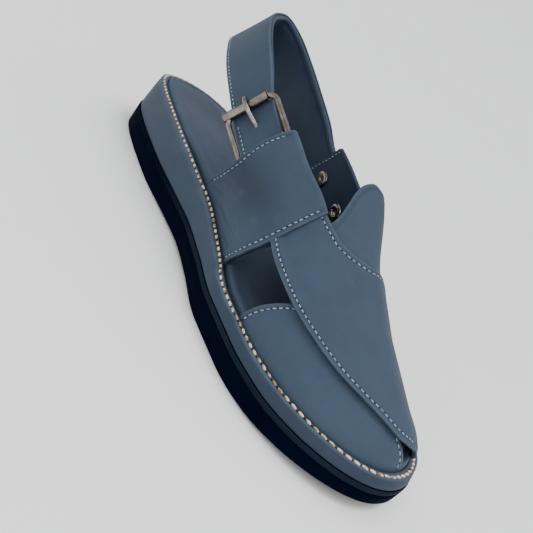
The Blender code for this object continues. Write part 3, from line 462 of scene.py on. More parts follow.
def sheetAcross(bm, reach, height, rows):
    # a sheet filling the sole's outline, its rows running across the foot
    bmesh.ops.create_grid(bm, x_segments=sole["steps"], y_segments=rows, size=0.5)
    plan = pushedOut(seam, reach)
    outer, inner = plan[:sole["steps"] + 1], np.vstack([plan[sole["steps"]:], plan[:1]])[::-1]
    for vert in bm.verts:
        if vert.tag:
            continue
        column = round((vert.co.x + 0.5) * sole["steps"])
        share = vert.co.y + 0.5
        x, y = outer[column] * (1 - share) + inner[column] * share
        vert.co = (x, y, height(seam[column, 0], share))
        vert.tag = True


def grooves(distance, inset, depth=0.22 * mm, width=0.75 * mm):
    return depth * bump(distance - inset, width)


def leatherPanel(name, spec, skin, finishes):
    # a grid laid on the last, given its thickness inwards, with its cut edges rounded
    bm = bmesh.new()
    bmesh.ops.create_grid(bm, x_segments=spec["columns"], y_segments=spec["rows"], size=0.5)
    u = np.array([vert.co.x + 0.5 for vert in bm.verts])
    v = np.array([vert.co.y + 0.5 for vert in bm.verts])
    points, marks = skin(u, v)
    for vert, point in zip(bm.verts, points):
        vert.co = point
    if spec.get("flip"):
        bmesh.ops.reverse_faces(bm, faces=bm.faces)
    piece = finishPiece(name, bm, finishes, ["upper"], 60, marks)
    wall = piece.modifiers.new("thickness", "SOLIDIFY")
    wall.thickness = spec["thick"]
    wall.offset = -1.0
    wall.material_offset = 1
    wall.material_offset_rim = 2
    soften = piece.modifiers.new("edge", "BEVEL")
    soften.width = spec.get("round", 0.32 * mm)
    soften.segments = 2
    soften.limit_method = "ANGLE"
    soften.angle_limit = math.radians(55)


def normalOf(base, u, v, flip):
    step = 2e-3
    ahead = base(np.minimum(u + step, 1), v) - base(np.maximum(u - step, 0), v)
    up = base(u, np.minimum(v + step, 1)) - base(u, np.maximum(v - step, 0))
    return unit(np.cross(ahead, up)) * (-1 if flip else 1)


def sideScale(base, side):
    # metres per unit across, just inside one side of a panel
    run, near = np.linspace(0, 1, 80), 0.05
    still, far = {"foot": (0, near), "top": (1, 1 - near), "rear": (0, near), "front": (1, 1 - near)}[side]
    if side in ("foot", "top"):
        length = np.linalg.norm(base(run, 0 * run + far) - base(run, 0 * run + still), axis=1) / near
        return lambda u, v: np.abs(v - still) * np.interp(u, run, length)
    length = np.linalg.norm(base(0 * run + far, run) - base(0 * run + still, run), axis=1) / near
    return lambda u, v: np.abs(u - still) * np.interp(v, run, length)


def sideRow(base, side, inset, start=0.0, end=1.0, count=200):
    # u and v along a line that keeps its distance from one side
    run = np.linspace(start, end, count)
    unitAway = sideScale(base, side)
    if side in ("foot", "top"):
        away = inset / unitAway(run, 0 * run + (1 if side == "foot" else 0))
        return run, away if side == "foot" else 1 - away
    away = inset / unitAway(0 * run + (1 if side == "rear" else 0), run)
    return (away if side == "rear" else 1 - away), run


def grainOfThread(bm, place, side, up, run, sizes, steps):
    # a ball drawn out to its three half sizes along side, up and run
    shape = Matrix([way * size for way, size in zip((side, up, run), sizes)]).transposed().to_4x4()
    return bmesh.ops.create_uvsphere(bm, u_segments=steps[0], v_segments=steps[1], radius=1.0,
                                     matrix=Matrix.Translation(place) @ shape)["verts"]


def stitchRow(name, line, outward, stitch, finish):
    # each stitch lies along the line, with the needle's hole before it
    travel = np.r_[0, np.cumsum(np.linalg.norm(np.diff(line, axis=0), axis=1))]
    at = lambda s, rows: np.array([np.interp(s, travel, column) for column in rows.T])
    count = max(1, round(travel[-1] / stitch["pitch"]))
    pitch, half, thick = travel[-1] / count, stitch["length"] / 2, stitch["radius"]
    bm = bmesh.new()
    for k in range(count):
        middle = (k + 0.5) * pitch
        run = Vector(at(middle + half, line) - at(middle - half, line)).normalized()
        up = Vector(at(middle, outward)).normalized()
        run = (run + run.cross(up).normalized() * stitch["lean"]).normalized()
        side = run.cross(up).normalized()
        place = Vector(at(middle, line)) + up * stitch["rise"]
        grainOfThread(bm, place, side, up, run, (thick, thick * 0.85, half), (8, 6))
        pit = grainOfThread(bm, Vector(at(k * pitch, line)), side, up, run, stitch["hole"], (6, 4))
        for face in {face for vert in pit for face in vert.link_faces}:
            face.material_index = 1
    bmesh.ops.recalc_face_normals(bm, faces=bm.faces)
    finishPiece(name, bm, [finish, needleHole], smooth=180)


# sole

def makeOutsole():
    reach, tuck = sole["outReach"], sole["treadReach"]
    bead = lambda x: jointZ(x) - sole["beadDepth"]
    line = lambda x: treadZ(x) + (bead(x) - treadZ(x)) * 0.80
    rings = []
    for k in range(5):  # rounded tread edge
        a = math.pi / 2 * k / 4
        rings.append(ringAt(tuck - sole["treadRound"] * (1 - math.sin(a)),
                            lambda x, a=a: treadZ(x) + sole["treadRound"] * (1 - math.cos(a))))
    rings += [ringAt(tuck + (reach - tuck) * 0.5, lambda x: (treadZ(x) + bead(x)) / 2),
              ringAt(reach - 0.05 * mm, lambda x: line(x) - 0.45 * mm),
              ringAt(reach - 0.32 * mm, line),  # the fine moulded line
              ringAt(reach, lambda x: line(x) + 0.45 * mm),
              ringAt(reach, lambda x: bead(x) - 2 * sole["beadNick"]),
              ringAt(reach - sole["beadNick"], lambda x: bead(x) - sole["beadNick"]),
              ringAt(reach - sole["beadNick"], lambda x: bead(x) - 0.3 * sole["beadNick"]),
              ringAt(reach - 0.1 * mm, bead),
              ringAt(reach + 0.12 * mm, lambda x: bead(x) + 0.35 * sole["beadDepth"]),
              ringAt(reach + 0.10 * mm, lambda x: bead(x) + 0.75 * sole["beadDepth"]),
              ringAt(reach - 0.25 * mm, jointZ)]
    bm, _ = sweepRings(rings)
    for vert in bm.verts:
        vert.tag = True
    rib, cut, plainEdge = sole["rib"], sole["ribCut"], 0.08
    groove = lambda x, share: cut * bump(x / rib - round(x / rib), 0.16) * (abs(share - 0.5) < 0.5 - plainEdge)
    sheetAcross(bm, tuck - sole["treadRound"], lambda x, share: treadZ(x) + groove(x, share), 12)
    sheetAcross(bm, reach - 0.25 * mm, lambda x, share: jointZ(x), 6)
    bmesh.ops.remove_doubles(bm, verts=bm.verts, dist=1e-6)
    bmesh.ops.recalc_face_normals(bm, faces=bm.faces)
    for face in bm.faces:  # the ledge under the wrap is greyer towards the toe
        spot = face.calc_center_median()
        if abs(face.normal.z) < 0.9 and spot.z > bead(spot.x) and shareOf(spot.x) > sole["ledgeFrom"]:
            face.material_index = 1
    finishPiece("outsoleRubber", bm, [blackRubber, ledgeRubber], ["outsole"], 50)


# the wrap's kinks under the welt stitches: along, how far it is pulled in, half width
wrapKinks = [(0.418, 0.75 * mm, 0.009), (0.620, 0.70 * mm, 0.010), (0.735, 0.60 * mm, 0.010),
             (0.440, -0.45 * mm, 0.012), (0.645, -0.50 * mm, 0.016)]


def makeWrap():
    foot = lambda x: jointZ(x) + last["fit"]
    rim, lip, wrap = sole["rimReach"], sole["rimLip"], sole["wrapLeather"]
    side = lambda t: (lambda x: foot(x) + (rimZ(x) - 0.9 * mm - foot(x)) * t)
    along = shareOf(seam[:, 0])
    pulled = 0.14 * mm * np.sin(along * 61) * np.sin(along * 23 + seam[:, 1] * 60)
    for place, depth, wide in wrapKinks:
        pulled = pulled + depth * bump(along - place, wide)
    rings = [ringAt(sole["wrapReach"] - 0.25 * mm, foot), ringAt(sole["wrapReach"] - 0.05 * mm, side(0.03)),
             ringAt(sole["wrapReach"] + 0.05 * mm, side(0.12))]
    for t in (0.3, 0.5, 0.7, 0.88):  # the side bulges a little between its turned edges
        belly = 0.25 * mm * math.sin(math.pi * t)
        reach = sole["wrapReach"] + (rim - sole["wrapReach"]) * t
        rings.append(ringAt(reach + belly - pulled * t * t, side(t)))
    for k in range(5):
        a = math.pi / 2 * k / 4
        rings.append(ringAt(rim - 0.9 * mm * (1 - math.cos(a)) - pulled,
                            lambda x, a=a: rimZ(x) - 0.9 * mm * (1 - math.sin(a))))
    rings += [ringAt(0.45 * mm, lambda x: rimZ(x) - 0.02 * mm), ringAt(0, lambda x: rimZ(x) - 0.30 * mm),
              ringAt(-0.5 * mm, lambda x: rimZ(x) - 0.02 * mm), ringAt(-lip + 0.35 * mm, rimZ),
              ringAt(-lip, lambda x: rimZ(x) - 0.35 * mm), ringAt(-lip, lambda x: rimZ(x) - wrap),
              ringAt(rim - wrap, lambda x: rimZ(x) - wrap), ringAt(sole["wrapReach"] - wrap, foot)]
    bm, loops = sweepRings(rings + rings[:1])
    closeSweep(bm, loops[0], loops[-1])
    bmesh.ops.recalc_face_normals(bm, faces=bm.faces)
    heights = np.array([(v.co.z - jointZ(v.co.x)) / (rimZ(v.co.x) - jointZ(v.co.x)) for v in bm.verts])
    noise = np.array([math.sin(v.co.x * 171) * math.sin(v.co.y * 133 + 1) for v in bm.verts])
    fore = np.array([ramp(shareOf(v.co.x), 0.55, 0.80) for v in bm.verts])
    rubbedAndLit = 0.55 * bump(heights - 1.0, 0.07) + 0.25 * np.clip(noise, 0, 1) * bump(heights - 0.9, 0.2)
    # painted shade: darker at the wrap's foot by the outsole, and down the forefoot's side that faces away from the
    # light
    marks = {"wear": rubbedAndLit, "dirt": 0.55 * bump(heights, 0.06) + 0.42 * fore * (1 - ramp(heights, 0.80, 0.95))}
    finishPiece("wrapLeather", bm, [wrapLeather], ["rand"], 50, marks)


# footbed: its dishes and stains lie at (along, across), each with its size
footbed = {"depth": 3.0 * mm, "soft": 1.5 * mm, "swell": 0.45 * mm, "toePuff": 3.4 * mm, "line": 4.2 * mm,
           "dishes": [(0.11, 1.1 * mm, 0.09), (0.74, 0.9 * mm, 0.10)], "stain": 0.3,
           "stains": [(0.30, -0.10, 4.0 * mm), (0.24, 0.05, 3.0 * mm), (0.17, -0.16, 2.5 * mm),
                      (0.70, -0.10, 6.0 * mm), (0.36, -0.22, 3.0 * mm)]}


def makeFootbed():
    depth, soft, line = footbed["depth"], footbed["soft"], footbed["line"]
    behind = evenCurve((0.26, 0.33), (0.0, 1.0))  # behind the upper it reaches the rim's lip
    along = shareOf(seam[:, 0])
    openToe = ramp(seam[:, 1], 0.003, 0.008) * ramp(along, 0.920, 0.940)
    margin = sole["rimLip"] + last["fit"] + (last["leather"] + last["fit"]) * behind(along) * (1 - openToe)
    floor = lambda x: rimZ(x) - sole["wrapLeather"]
    pressed = lambda x: floor(x) + depth - 0.35 * mm  # the pressed line inside the edge
    rings = [ringAt(-margin, floor)]
    for k in range(7):
        a = math.pi / 2 * k / 6
        rings.append(ringAt(-margin - soft * (1 - math.cos(a)),
                            lambda x, a=a: floor(x) + depth - soft * (1 - math.sin(a))))
    rings += [ringAt(-margin - line + 1.0 * mm, lambda x: floor(x) + depth - 0.05 * mm),
              ringAt(-margin - line, pressed)]
    bm, _ = sweepRings(rings)
    for vert in bm.verts:
        vert.tag = True
    steps = sole["steps"]
    outer, inner = rings[-1][:steps + 1], np.vstack([rings[-1][steps:], rings[-1][:1]])[::-1]
    bmesh.ops.create_grid(bm, x_segments=steps, y_segments=26, size=0.5)
    for vert in bm.verts:
        if vert.tag:
            continue
        column, share = round((vert.co.x + 0.5) * steps), vert.co.y + 0.5
        spot = outer[column] * (1 - share) + inner[column] * share
        along, across = shareOf(spot[0]), (share - 0.5) * 2
        width = abs(inner[column, 1] - outer[column, 1])
        spot[2] += footbed["swell"] * ramp((1 - abs(across)) * width / 2, 0, 6 * mm)
        for place, dip, long in footbed["dishes"]:
            spot[2] -= dip * bump(along - place, long) * (1 - across ** 2)
        puff = footbed["toePuff"] * ramp(along, 0.885, 0.925) * ramp(spot[1], 0.004, 0.016)
        puff *= ramp((1 - across) * width / 2, 0, 3 * mm)
        roof = float(overPlan(spot[0], spot[1])[2]) - 0.5 * mm
        spot[2] = max(spot[2], min(spot[2] + puff, roof))
        vert.co = spot
        vert.tag = True
    bmesh.ops.remove_doubles(bm, verts=bm.verts, dist=1e-6)
    bmesh.ops.recalc_face_normals(bm, faces=bm.faces)
    where = np.array([(shareOf(v.co.x), v.co.y / ballWidth) for v in bm.verts])
    stain = sum(footbed["stain"] * bump(np.hypot((where[:, 0] - a) * seamLength, (where[:, 1] - b) * ballWidth), r)
                for a, b, r in footbed["stains"])
    # painted light: a paler patch by the open toe, where the footbed lies in the vamp's shade
    rubbedAndLit = 0.9 * ramp(where[:, 0], 0.90, 0.93) * ramp(where[:, 1] * ballWidth, 0.012, 0.022)  # by the open toe
    marks = {"wear": rubbedAndLit, "dirt": np.clip(stain, 0, 1)}
    piece = finishPiece("footbed", bm, [bedLeather], ["insole"], 50, marks)


weltStitch = {"pitch": 3.95 * mm, "length": 3.1 * mm, "radius": 0.70 * mm, "rise": 0.18 * mm, "lean": 0.24,
              "hole": (0.55 * mm, 0.22 * mm, 0.75 * mm), "sunk": 0.10 * mm}


def seamWander(along):
    # the welt seam runs a little further in where it holds a panel down, and steps out in the gap
    quarterShare = ramp(along, 0.415, 0.428) * (1 - ramp(along, 0.622, 0.636))
    toeShare = ramp(along, 0.722, 0.736) * (1 - ramp(along, 0.93, 0.99))
    return (0.35 - 0.85 * (quarterShare + toeShare)) * mm


def makeWeltStitches():
    loop = seamLoop(400)
    loop = pushedOut(loop, seamWander(shareOf(loop[:, 0])))
    line = np.column_stack([loop, rimZ(loop[:, 0]) - weltStitch["sunk"]])
    line = np.vstack([line, line[:1]])
    up = np.tile((0.0, 0.0, 1.0), (len(line), 1))
    stitchRow("weltStitches", line, up, weltStitch, creamThread)


makeOutsole()
makeWrap()
makeFootbed()
makeWeltStitches()
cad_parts["midsole"].data.materials.clear()
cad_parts["midsole"].data.materials.append(coreFoam)
print("sole made")


# upper panels: each side is a line of (along, around) on the last

quarter = {"columns": 130, "rows": 230, "thick": 1.25 * mm, "lift": 2.8 * mm, "room": 0.6 * mm,
           "fold": 0.55 * mm, "pocket": 9.0 * mm, "edgeRise": 0.25 * mm,
           "scuffs": [(0.514, 0.104, 0.9 * mm, 0.90), (0.591, 0.133, 1.4 * mm, 0.30),
                      (0.614, 0.196, 1.6 * mm, 0.25)],
           # painted shade: a dark band over the quarter's dip, laid like a crease: start, end, strength, half width
           # in millimetres
           "paintedShade": [((0.400, 0.068), (0.606, 0.180), 0.66, 8.0)],
           "foot": [(0.405, 0.000), (0.510, 0.000), (0.609, 0.000)],
           "top": [(0.470, 0.296), (0.547, 0.302), (0.634, 0.336)],
           "rear": [(0.405, 0.000), (0.411, 0.020), (0.430, 0.062), (0.442, 0.110), (0.450, 0.175),
                    (0.460, 0.240), (0.470, 0.296)],
           "front": [(0.609, 0.000), (0.616, 0.030), (0.627, 0.060), (0.638, 0.100), (0.644, 0.140),
                     (0.646, 0.190), (0.643, 0.250), (0.634, 0.336)]}
vamp = {"columns": 190, "rows": 110, "thick": 1.1 * mm, "lap": 1.4 * mm, "edgeLift": 1.2 * mm,
        "foot": [(0.580, 0.150), (0.643, 0.175), (0.694, 0.181), (0.758, 0.194), (0.809, 0.216),
                 (0.859, 0.246), (0.899, 0.284), (0.934, 0.345), (0.957, 0.440), (0.965, 0.600),
                 (0.960, 0.800), (0.948, 1.000)],
        "top": [(0.590, 0.300), (0.635, 0.331), (0.660, 0.351), (0.684, 0.374), (0.703, 0.413),
                (0.716, 0.469), (0.718, 0.560), (0.708, 0.700), (0.690, 0.850), (0.672, 1.000)],
        "rear": [(0.580, 0.150), (0.583, 0.225), (0.590, 0.300)],
        "front": [(0.948, 1.000), (0.820, 1.000), (0.672, 1.000)]}
tongue = {"columns": 180, "rows": 110, "thick": 1.1 * mm, "flip": True,
          "flare": (1.5 * mm, 3.2 * mm, 3.6 * mm),
          "foot": [(0.350, 1.000), (0.510, 1.000), (0.668, 1.000)],
          "top": [(0.420, 0.752), (0.474, 0.737), (0.522, 0.718), (0.556, 0.690), (0.580, 0.645),
                  (0.592, 0.585), (0.592, 0.525), (0.588, 0.480), (0.591, 0.450), (0.603, 0.422),
                  (0.622, 0.396), (0.640, 0.366), (0.652, 0.322)],
          "rear": [(0.350, 1.000), (0.353, 0.980), (0.362, 0.935), (0.377, 0.880), (0.398, 0.825),
                   (0.420, 0.752)],
          "front": [(0.668, 1.000), (0.700, 0.890), (0.735, 0.750), (0.748, 0.600), (0.745, 0.480),
                    (0.725, 0.400), (0.690, 0.350), (0.652, 0.322)]}
toe = {"columns": 150, "rows": 70, "thick": 1.1 * mm, "backAlong": 0.727, "frontAcross": 0.110,
       "inner": [(0.782, -0.250), (0.825, -0.205), (0.868, -0.150), (0.905, -0.085), (0.930, -0.030),
                 (0.948, 0.010)]}
liner = {"thick": 0.62 * mm, "inset": 0.35 * mm, "gap": 0.04 * mm, "round": 0.15 * mm}
fineStitch = {"pitch": 2.65 * mm, "length": 1.75 * mm, "radius": 0.29 * mm, "rise": 0.0, "lean": 0.10,
              "hole": (0.42 * mm, 0.16 * mm, 0.34 * mm)}
stitchInset = 2.6 * mm
footGirth = 0.155  # metres over the last from rim to rim, near enough for marks


def coons(panel):
    low, high, back, fore = [lineThrough(panel[side]) for side in ("foot", "top", "rear", "front")]

    def at(u, v):
        u, v = np.asarray(u, float), np.asarray(v, float)
        s, t = u[..., None], v[..., None]
        corners = (low(0) * (1 - s) * (1 - t) + low(1) * s * (1 - t)
                   + high(0) * (1 - s) * t + high(1) * s * t)
        return back(v) * (1 - s) + fore(v) * s + low(u) * (1 - t) + high(u) * t - corners
    return at


def dropped(points, share):
    # lets the foot of a panel straight down beside the footbed
    points = points.copy()
    points[..., 2] -= sole["wrapLeather"] * share
    return points


def quarterLift(along, around):
    return (quarter["lift"] + quarter["room"] * (1 - ramp(along, 0.52, 0.57))) * ramp(around, 0.0, 0.12)


def creaseDepth(along, around, creases):
    # soft folds: start and end on the last, depth and width in millimetres
    depth = 0 * along
    for (a0, r0), (a1, r1), deep, wide in creases:
        px, py = (along - a0) * seamLength, (around - r0) * footGirth
        dx, dy = (a1 - a0) * seamLength, (r1 - r0) * footGirth
        t = np.clip((px * dx + py * dy) / (dx * dx + dy * dy), 0, 1)
        away = np.hypot(px - dx * t, py - dy * t)
        depth = depth + deep * mm * bump(away, wide * mm) * np.sin(math.pi * (0.12 + 0.76 * t))
    return depth


# start and end on the last, then depth and half width in millimetres: fine wrinkles, then soft hollows
quarterCreases = [((0.425, 0.012), (0.500, 0.050), 0.34, 0.75), ((0.432, 0.032), (0.505, 0.072), 0.30, 0.70),
                  ((0.440, 0.052), (0.520, 0.092), 0.34, 0.75), ((0.470, 0.012), (0.560, 0.048), 0.32, 0.70),
                  ((0.500, 0.022), (0.590, 0.058), 0.34, 0.75), ((0.520, 0.050), (0.600, 0.082), 0.28, 0.70),
                  ((0.450, 0.082), (0.520, 0.116), 0.30, 0.70), ((0.545, 0.012), (0.602, 0.036), 0.30, 0.70),
                  ((0.448, 0.108), (0.500, 0.150), 0.30, 0.80), ((0.480, 0.062), (0.560, 0.098), 0.26, 0.70),
                  ((0.535, 0.078), (0.590, 0.104), 0.24, 0.70), ((0.418, 0.026), (0.460, 0.052), 0.34, 0.75),
                  ((0.436, 0.096), (0.540, 0.140), 1.40, 5.20), ((0.450, 0.200), (0.580, 0.245), -0.70, 7.0),
                  ((0.520, 0.035), (0.600, 0.070), -0.35, 4.0)]
vampCreases = [((0.64, 0.24), (0.72, 0.33), 0.45, 4.5), ((0.70, 0.30), (0.78, 0.42), -0.4, 6.0),
               ((0.83, 0.36), (0.86, 0.60), 0.35, 5.0), ((0.78, 0.30), (0.80, 0.62), 0.3, 6.0),
               ((0.90, 0.34), (0.92, 0.55), 0.3, 3.0)]
toeCreases = [((0.80, 0.10), (0.88, 0.22), 0.3, 5.0)]
tongueCreases = [((0.60, 0.47), (0.70, 0.45), 0.5, 5.0), ((0.52, 0.80), (0.60, 0.90), 0.35, 4.0)]


def makeQuarter():
    # outer ply up the wall, over the folded top edge and down inside as the pocket
    patch = coons(quarter)
    skirt, up, over = 0.02, 0.52, 0.60  # shares of the sheet: into the sole, up to the fold, round it
    pocketFoot, ahead = 0.24, (0.50, 0.72)  # the inner ply stops high, but at the front it runs right down
    topShare = lambda u: 0.97 - 0.040 * (1 - u) ** 1.5  # where the fold begins on the patch
    wallSpot = lambda u, climb: onLast(*np.moveaxis(patch(u, climb), -1, 0))

    def wallNormal(u, climb):
        step = 3e-3
        run = wallSpot(np.minimum(u + step, 1), climb) - wallSpot(np.maximum(u - step, 0), climb)
        rise = wallSpot(u, np.minimum(climb + step, 1)) - wallSpot(u, np.maximum(climb - step, 0))
        return unit(np.cross(run, rise)), unit(rise)

    away = {side: sideScale(wallSpot, side) for side in ("rear", "front")}

    def skin(u, v):
        outside = v < up
        climb = np.clip((v - skirt) / (up - skirt), 0, 1)
        along, around = np.moveaxis(patch(u, climb * topShare(u)), -1, 0)
        points = dropped(onLast(along, around), np.clip(1 - v / skirt, 0, 1))
        out, rise = wallNormal(u, climb * topShare(u))
        lift = quarterLift(along, around) + last["leather"]
        rearGap, frontGap = away["rear"](u, climb), away["front"](u, climb)
        sewn = grooves(rearGap, stitchInset, 1) + grooves(frontGap, stitchInset, 1)
        dents = grooves(rearGap, stitchInset) + grooves(frontGap, stitchInset)
        dents = dents + creaseDepth(along, around, quarterCreases)
        dents -= quarter["edgeRise"] * (ramp(rearGap, 0, 2 * mm) * (1 - ramp(rearGap, 3 * mm, 6 * mm)))
        outerFace = points + out * (lift - dents * outside)[..., None]
        # the fold: half a turn about a line just inside the top edge
        thick, radius = quarter["thick"], quarter["fold"]
        swing = np.clip((v - up) / (over - up), 0, 1) * math.pi
        pivot = points + out * (lift - thick - radius)[..., None]
        folded = pivot + out * ((radius + thick) * np.cos(swing))[..., None]
        folded = folded + rise * ((radius + thick) * np.sin(swing))[..., None]
        # the inner ply hangs from the fold, off the wall by the pocket's depth
        down = np.clip((v - over) / (1 - over), 0, 1)
        low = pocketFoot - (pocketFoot - 0.03) * ramp(u, *ahead)
        hang = topShare(u) - down * (topShare(u) - low)
        inside = patch(u, hang)
        innerLift = quarterLift(inside[..., 0], inside[..., 1]) + last["leather"] - 2 * thick - 2 * radius
        deep = quarter["pocket"] * ramp(down, 0.0, 0.16) * (1 - 0.75 * ramp(down, 0.82, 1.0))
        deep = deep * (1 - ramp(u, 0.62, 0.80))
        inner = wallSpot(u, hang) + wallNormal(u, hang)[0] * (innerLift - deep)[..., None]
        points = np.where(outside[..., None], outerFace, np.where((v < over)[..., None], folded, inner))
        wear = 0.5 * (bump(rearGap, 0.7 * mm) + bump(frontGap, 0.7 * mm)) * outside + 0.3 * bump(v - 0.56, 0.03)
        for place, height, size, amount in quarter["scuffs"]:
            far = np.hypot((along - place) * seamLength * 0.6, (around - height) * footGirth)
            wear = wear + amount * bump(far, size) * outside
        # painted shade: the dark band over the dip, a darker strip at the quarter's foot by the rim, and darker
        # stitch grooves
        dirt = creaseDepth(along, around, quarter["paintedShade"]) / mm + 0.5 * bump(climb, 0.03) + 0.35 * sewn
        return points, {"wear": np.clip(wear, 0, 1), "dirt": dirt * outside}

    leatherPanel("outerQuarter", quarter, skin, [blueLeather, liningAndShade, cutEdge])
    for side, start, end in (("rear", 0.10, 0.93), ("front", 0.03, 0.97)):
        u, climb = sideRow(wallSpot, side, stitchInset, start, end)
        points, _ = skin(u, np.clip(skirt + climb * (up - skirt), skirt, up - 0.002))
        stitchRow("quarterStitches_" + side, points, wallNormal(u, climb)[0], fineStitch, paleThread)


def panelSkin(base, flip, lift, stitched, creases, lines):
    scales = {side: sideScale(base, side) for side in ("foot", "top", "rear", "front")}

    def skin(u, v):
        points, out = base(u, v), normalOf(base, u, v, flip)
        along, around = lines(u, v)
        dents = creaseDepth(along, around, creases)
        wear, dirt = 0 * u, 0 * u
        for side in stitched:
            gap = scales[side](u, v)
            raised = 0.22 * mm * ramp(gap, 0, 1.8 * mm) * (1 - ramp(gap, 3 * mm, 6 * mm))  # sewn edge
            dents = dents + grooves(gap, stitchInset) - raised
            wear = wear + 0.5 * bump(gap, 0.7 * mm)
            # painted shade: darker in the stitch groove
            dirt = dirt + 0.35 * grooves(gap, stitchInset, 1)
        return points + out * (lift(u, v) - dents)[..., None], {"wear": np.clip(wear, 0, 1), "dirt": dirt}
    return skin


def addLiner(name, spec, base, flip, lift, trims):
    # a second ply under the leather, cut a little smaller
    halfway = np.full(9, 0.5)
    scales = {side: sideScale(base, side) for side in trims}
    inset = {"rear": 0, "front": 0, "foot": 0, "top": 0}
    for side in trims:
        inset[side] = liner["inset"] / float(np.median(scales[side](halfway, halfway) / 0.5))

    def skin(u, v):
        u = inset["rear"] + u * (1 - inset["rear"] - inset["front"])
        v = inset["foot"] + v * (1 - inset["foot"] - inset["top"])
        below = (lift(u, v) - spec["thick"] - liner["gap"])[..., None]
        return base(u, v) + normalOf(base, u, v, flip) * below, {"wear": 0 * u, "dirt": 0 * u}
    small = {**spec, "columns": spec["columns"] // 2, "rows": spec["rows"] // 2, "thick": liner["thick"],
             "round": liner["round"]}
    leatherPanel(name, small, skin, [liningAndShade, liningAndShade, cutEdge])


def addStitches(name, skin, base, flip, side, start, end):
    u, v = sideRow(base, side, stitchInset, start, end)
    points, _ = skin(u, v)
    stitchRow(name, points, normalOf(base, u, v, flip), fineStitch, paleThread)


def makeVamp():
    patch = coons(vamp)
    foot = 0.985  # the last strip of columns goes down beside the footbed

    def base(u, v):
        lines = patch(np.clip(u / foot, 0, 1), v)
        return dropped(onLast(lines[..., 0], lines[..., 1]), np.clip((u - foot) / (1 - foot), 0, 1))

    def lines(u, v):
        spot = patch(np.clip(u / foot, 0, 1), v)
        return spot[..., 0], spot[..., 1]

    def lift(u, v):
        along, around = lines(u, v)
        rest = ramp(1 - around, 0.0, 0.08)
        free = ramp(1 - v, 0.75, 1.0) * ramp(1 - around, 0.0, 0.25)
        return vamp["lap"] * rest + vamp["edgeLift"] * free + last["leather"]

    skin = panelSkin(base, False, lift, ("foot", "top"), vampCreases, lines)
    leatherPanel("vampLeather", vamp, skin, [blueLeather, cutEdge, cutEdge])
    addLiner("vampLining", vamp, base, False, lift, ("foot", "top"))
    addStitches("vampStitches_edge", skin, base, False, "foot", 0.03, 0.80)
    addStitches("vampStitches_back", skin, base, False, "top", 0.02, 0.97)


def makeTongue():
    patch = coons(tongue)
    foot = 0.02

    def lines(u, v):
        spot = patch(u, np.clip((v - foot) / (1 - foot), 0, 1))
        return spot[..., 0], spot[..., 1]

    def base(u, v):
        along, around = lines(u, v)
        flare = 1 - ramp(along, 0.600, 0.715)  # the lobe stands off the foot
        flare = flare * ramp(around, 0.36, 0.50) * (1 - ramp(around, 0.56, 0.73))
        wall = onLast(along, around) + np.array(tongue["flare"]) * flare[..., None]
        return dropped(wall, np.clip(1 - v / foot, 0, 1))

    lift = lambda u, v: last["leather"] + 0 * u
    skin = panelSkin(base, True, lift, ("top", "rear"), tongueCreases, lines)
    leatherPanel("tongueLeather", tongue, skin, [blueLeather, cutEdge, cutEdge])
    addLiner("tongueLining", tongue, base, True, lift, ("top", "rear"))
    u, v = sideRow(base, "rear", stitchInset, 0.05, 0.97)  # this seam shows on the inside too
    out = normalOf(base, u, v, True)
    stitchRow("tongueStitches_rear", base(u, v) - out * 0.02 * mm, -out, fineStitch, paleThread)
    addStitches("tongueStitches_outside", skin, base, True, "rear", 0.05, 0.97)


def makeToePanel():
    backX, frontY = toe["backAlong"] * seamLength + heelX, toe["frontAcross"] * ballWidth
    start = int(np.argmin(np.abs(footprint[:footSteps, 0] - backX)))
    end = footSteps + int(np.argmin(np.abs(footprint[footSteps:footSteps + 60, 1] - frontY)))
    rim = footprint[start:end + 1]
    travel = np.r_[0, np.cumsum(np.linalg.norm(np.diff(rim, axis=0), axis=1))]
    inner = lineThrough(toe["inner"])
    foot = 0.03

    def base(u, v):
        climb = np.clip((v - foot) / (1 - foot), 0, 1)
        edge = np.stack([np.interp(u * travel[-1], travel, rim[:, k]) for k in (0, 1)], axis=-1)
        far = inner(u) * (seamLength, ballWidth) + (heelX, 0)
        plan = edge + (far - edge) * (1 - np.cos(climb * math.pi / 2))[..., None]
        points = overPlan(plan[..., 0], plan[..., 1])
        low = climb <= 0
        points[..., 2] = np.where(low, rimZ(points[..., 0]) + last["fit"], points[..., 2])
        return dropped(points, np.clip(1 - v / foot, 0, 1))

    lift = lambda u, v: last["leather"] + 0 * u
    lines = lambda u, v: (0.73 + 0.2 * u, 0.3 * v)
    skin = panelSkin(base, False, lift, ("rear", "front"), toeCreases, lines)
    leatherPanel("toeLeather", toe, skin, [blueLeather, cutEdge, cutEdge])
    addLiner("toeLining", toe, base, False, lift, ("rear", "front"))
    addStitches("toeStitches_back", skin, base, False, "rear", 0.06, 0.97)
    addStitches("toeStitches_front", skin, base, False, "front", 0.10, 0.97)


makeToePanel()
makeVamp()
makeTongue()
makeQuarter()
print("upper made")


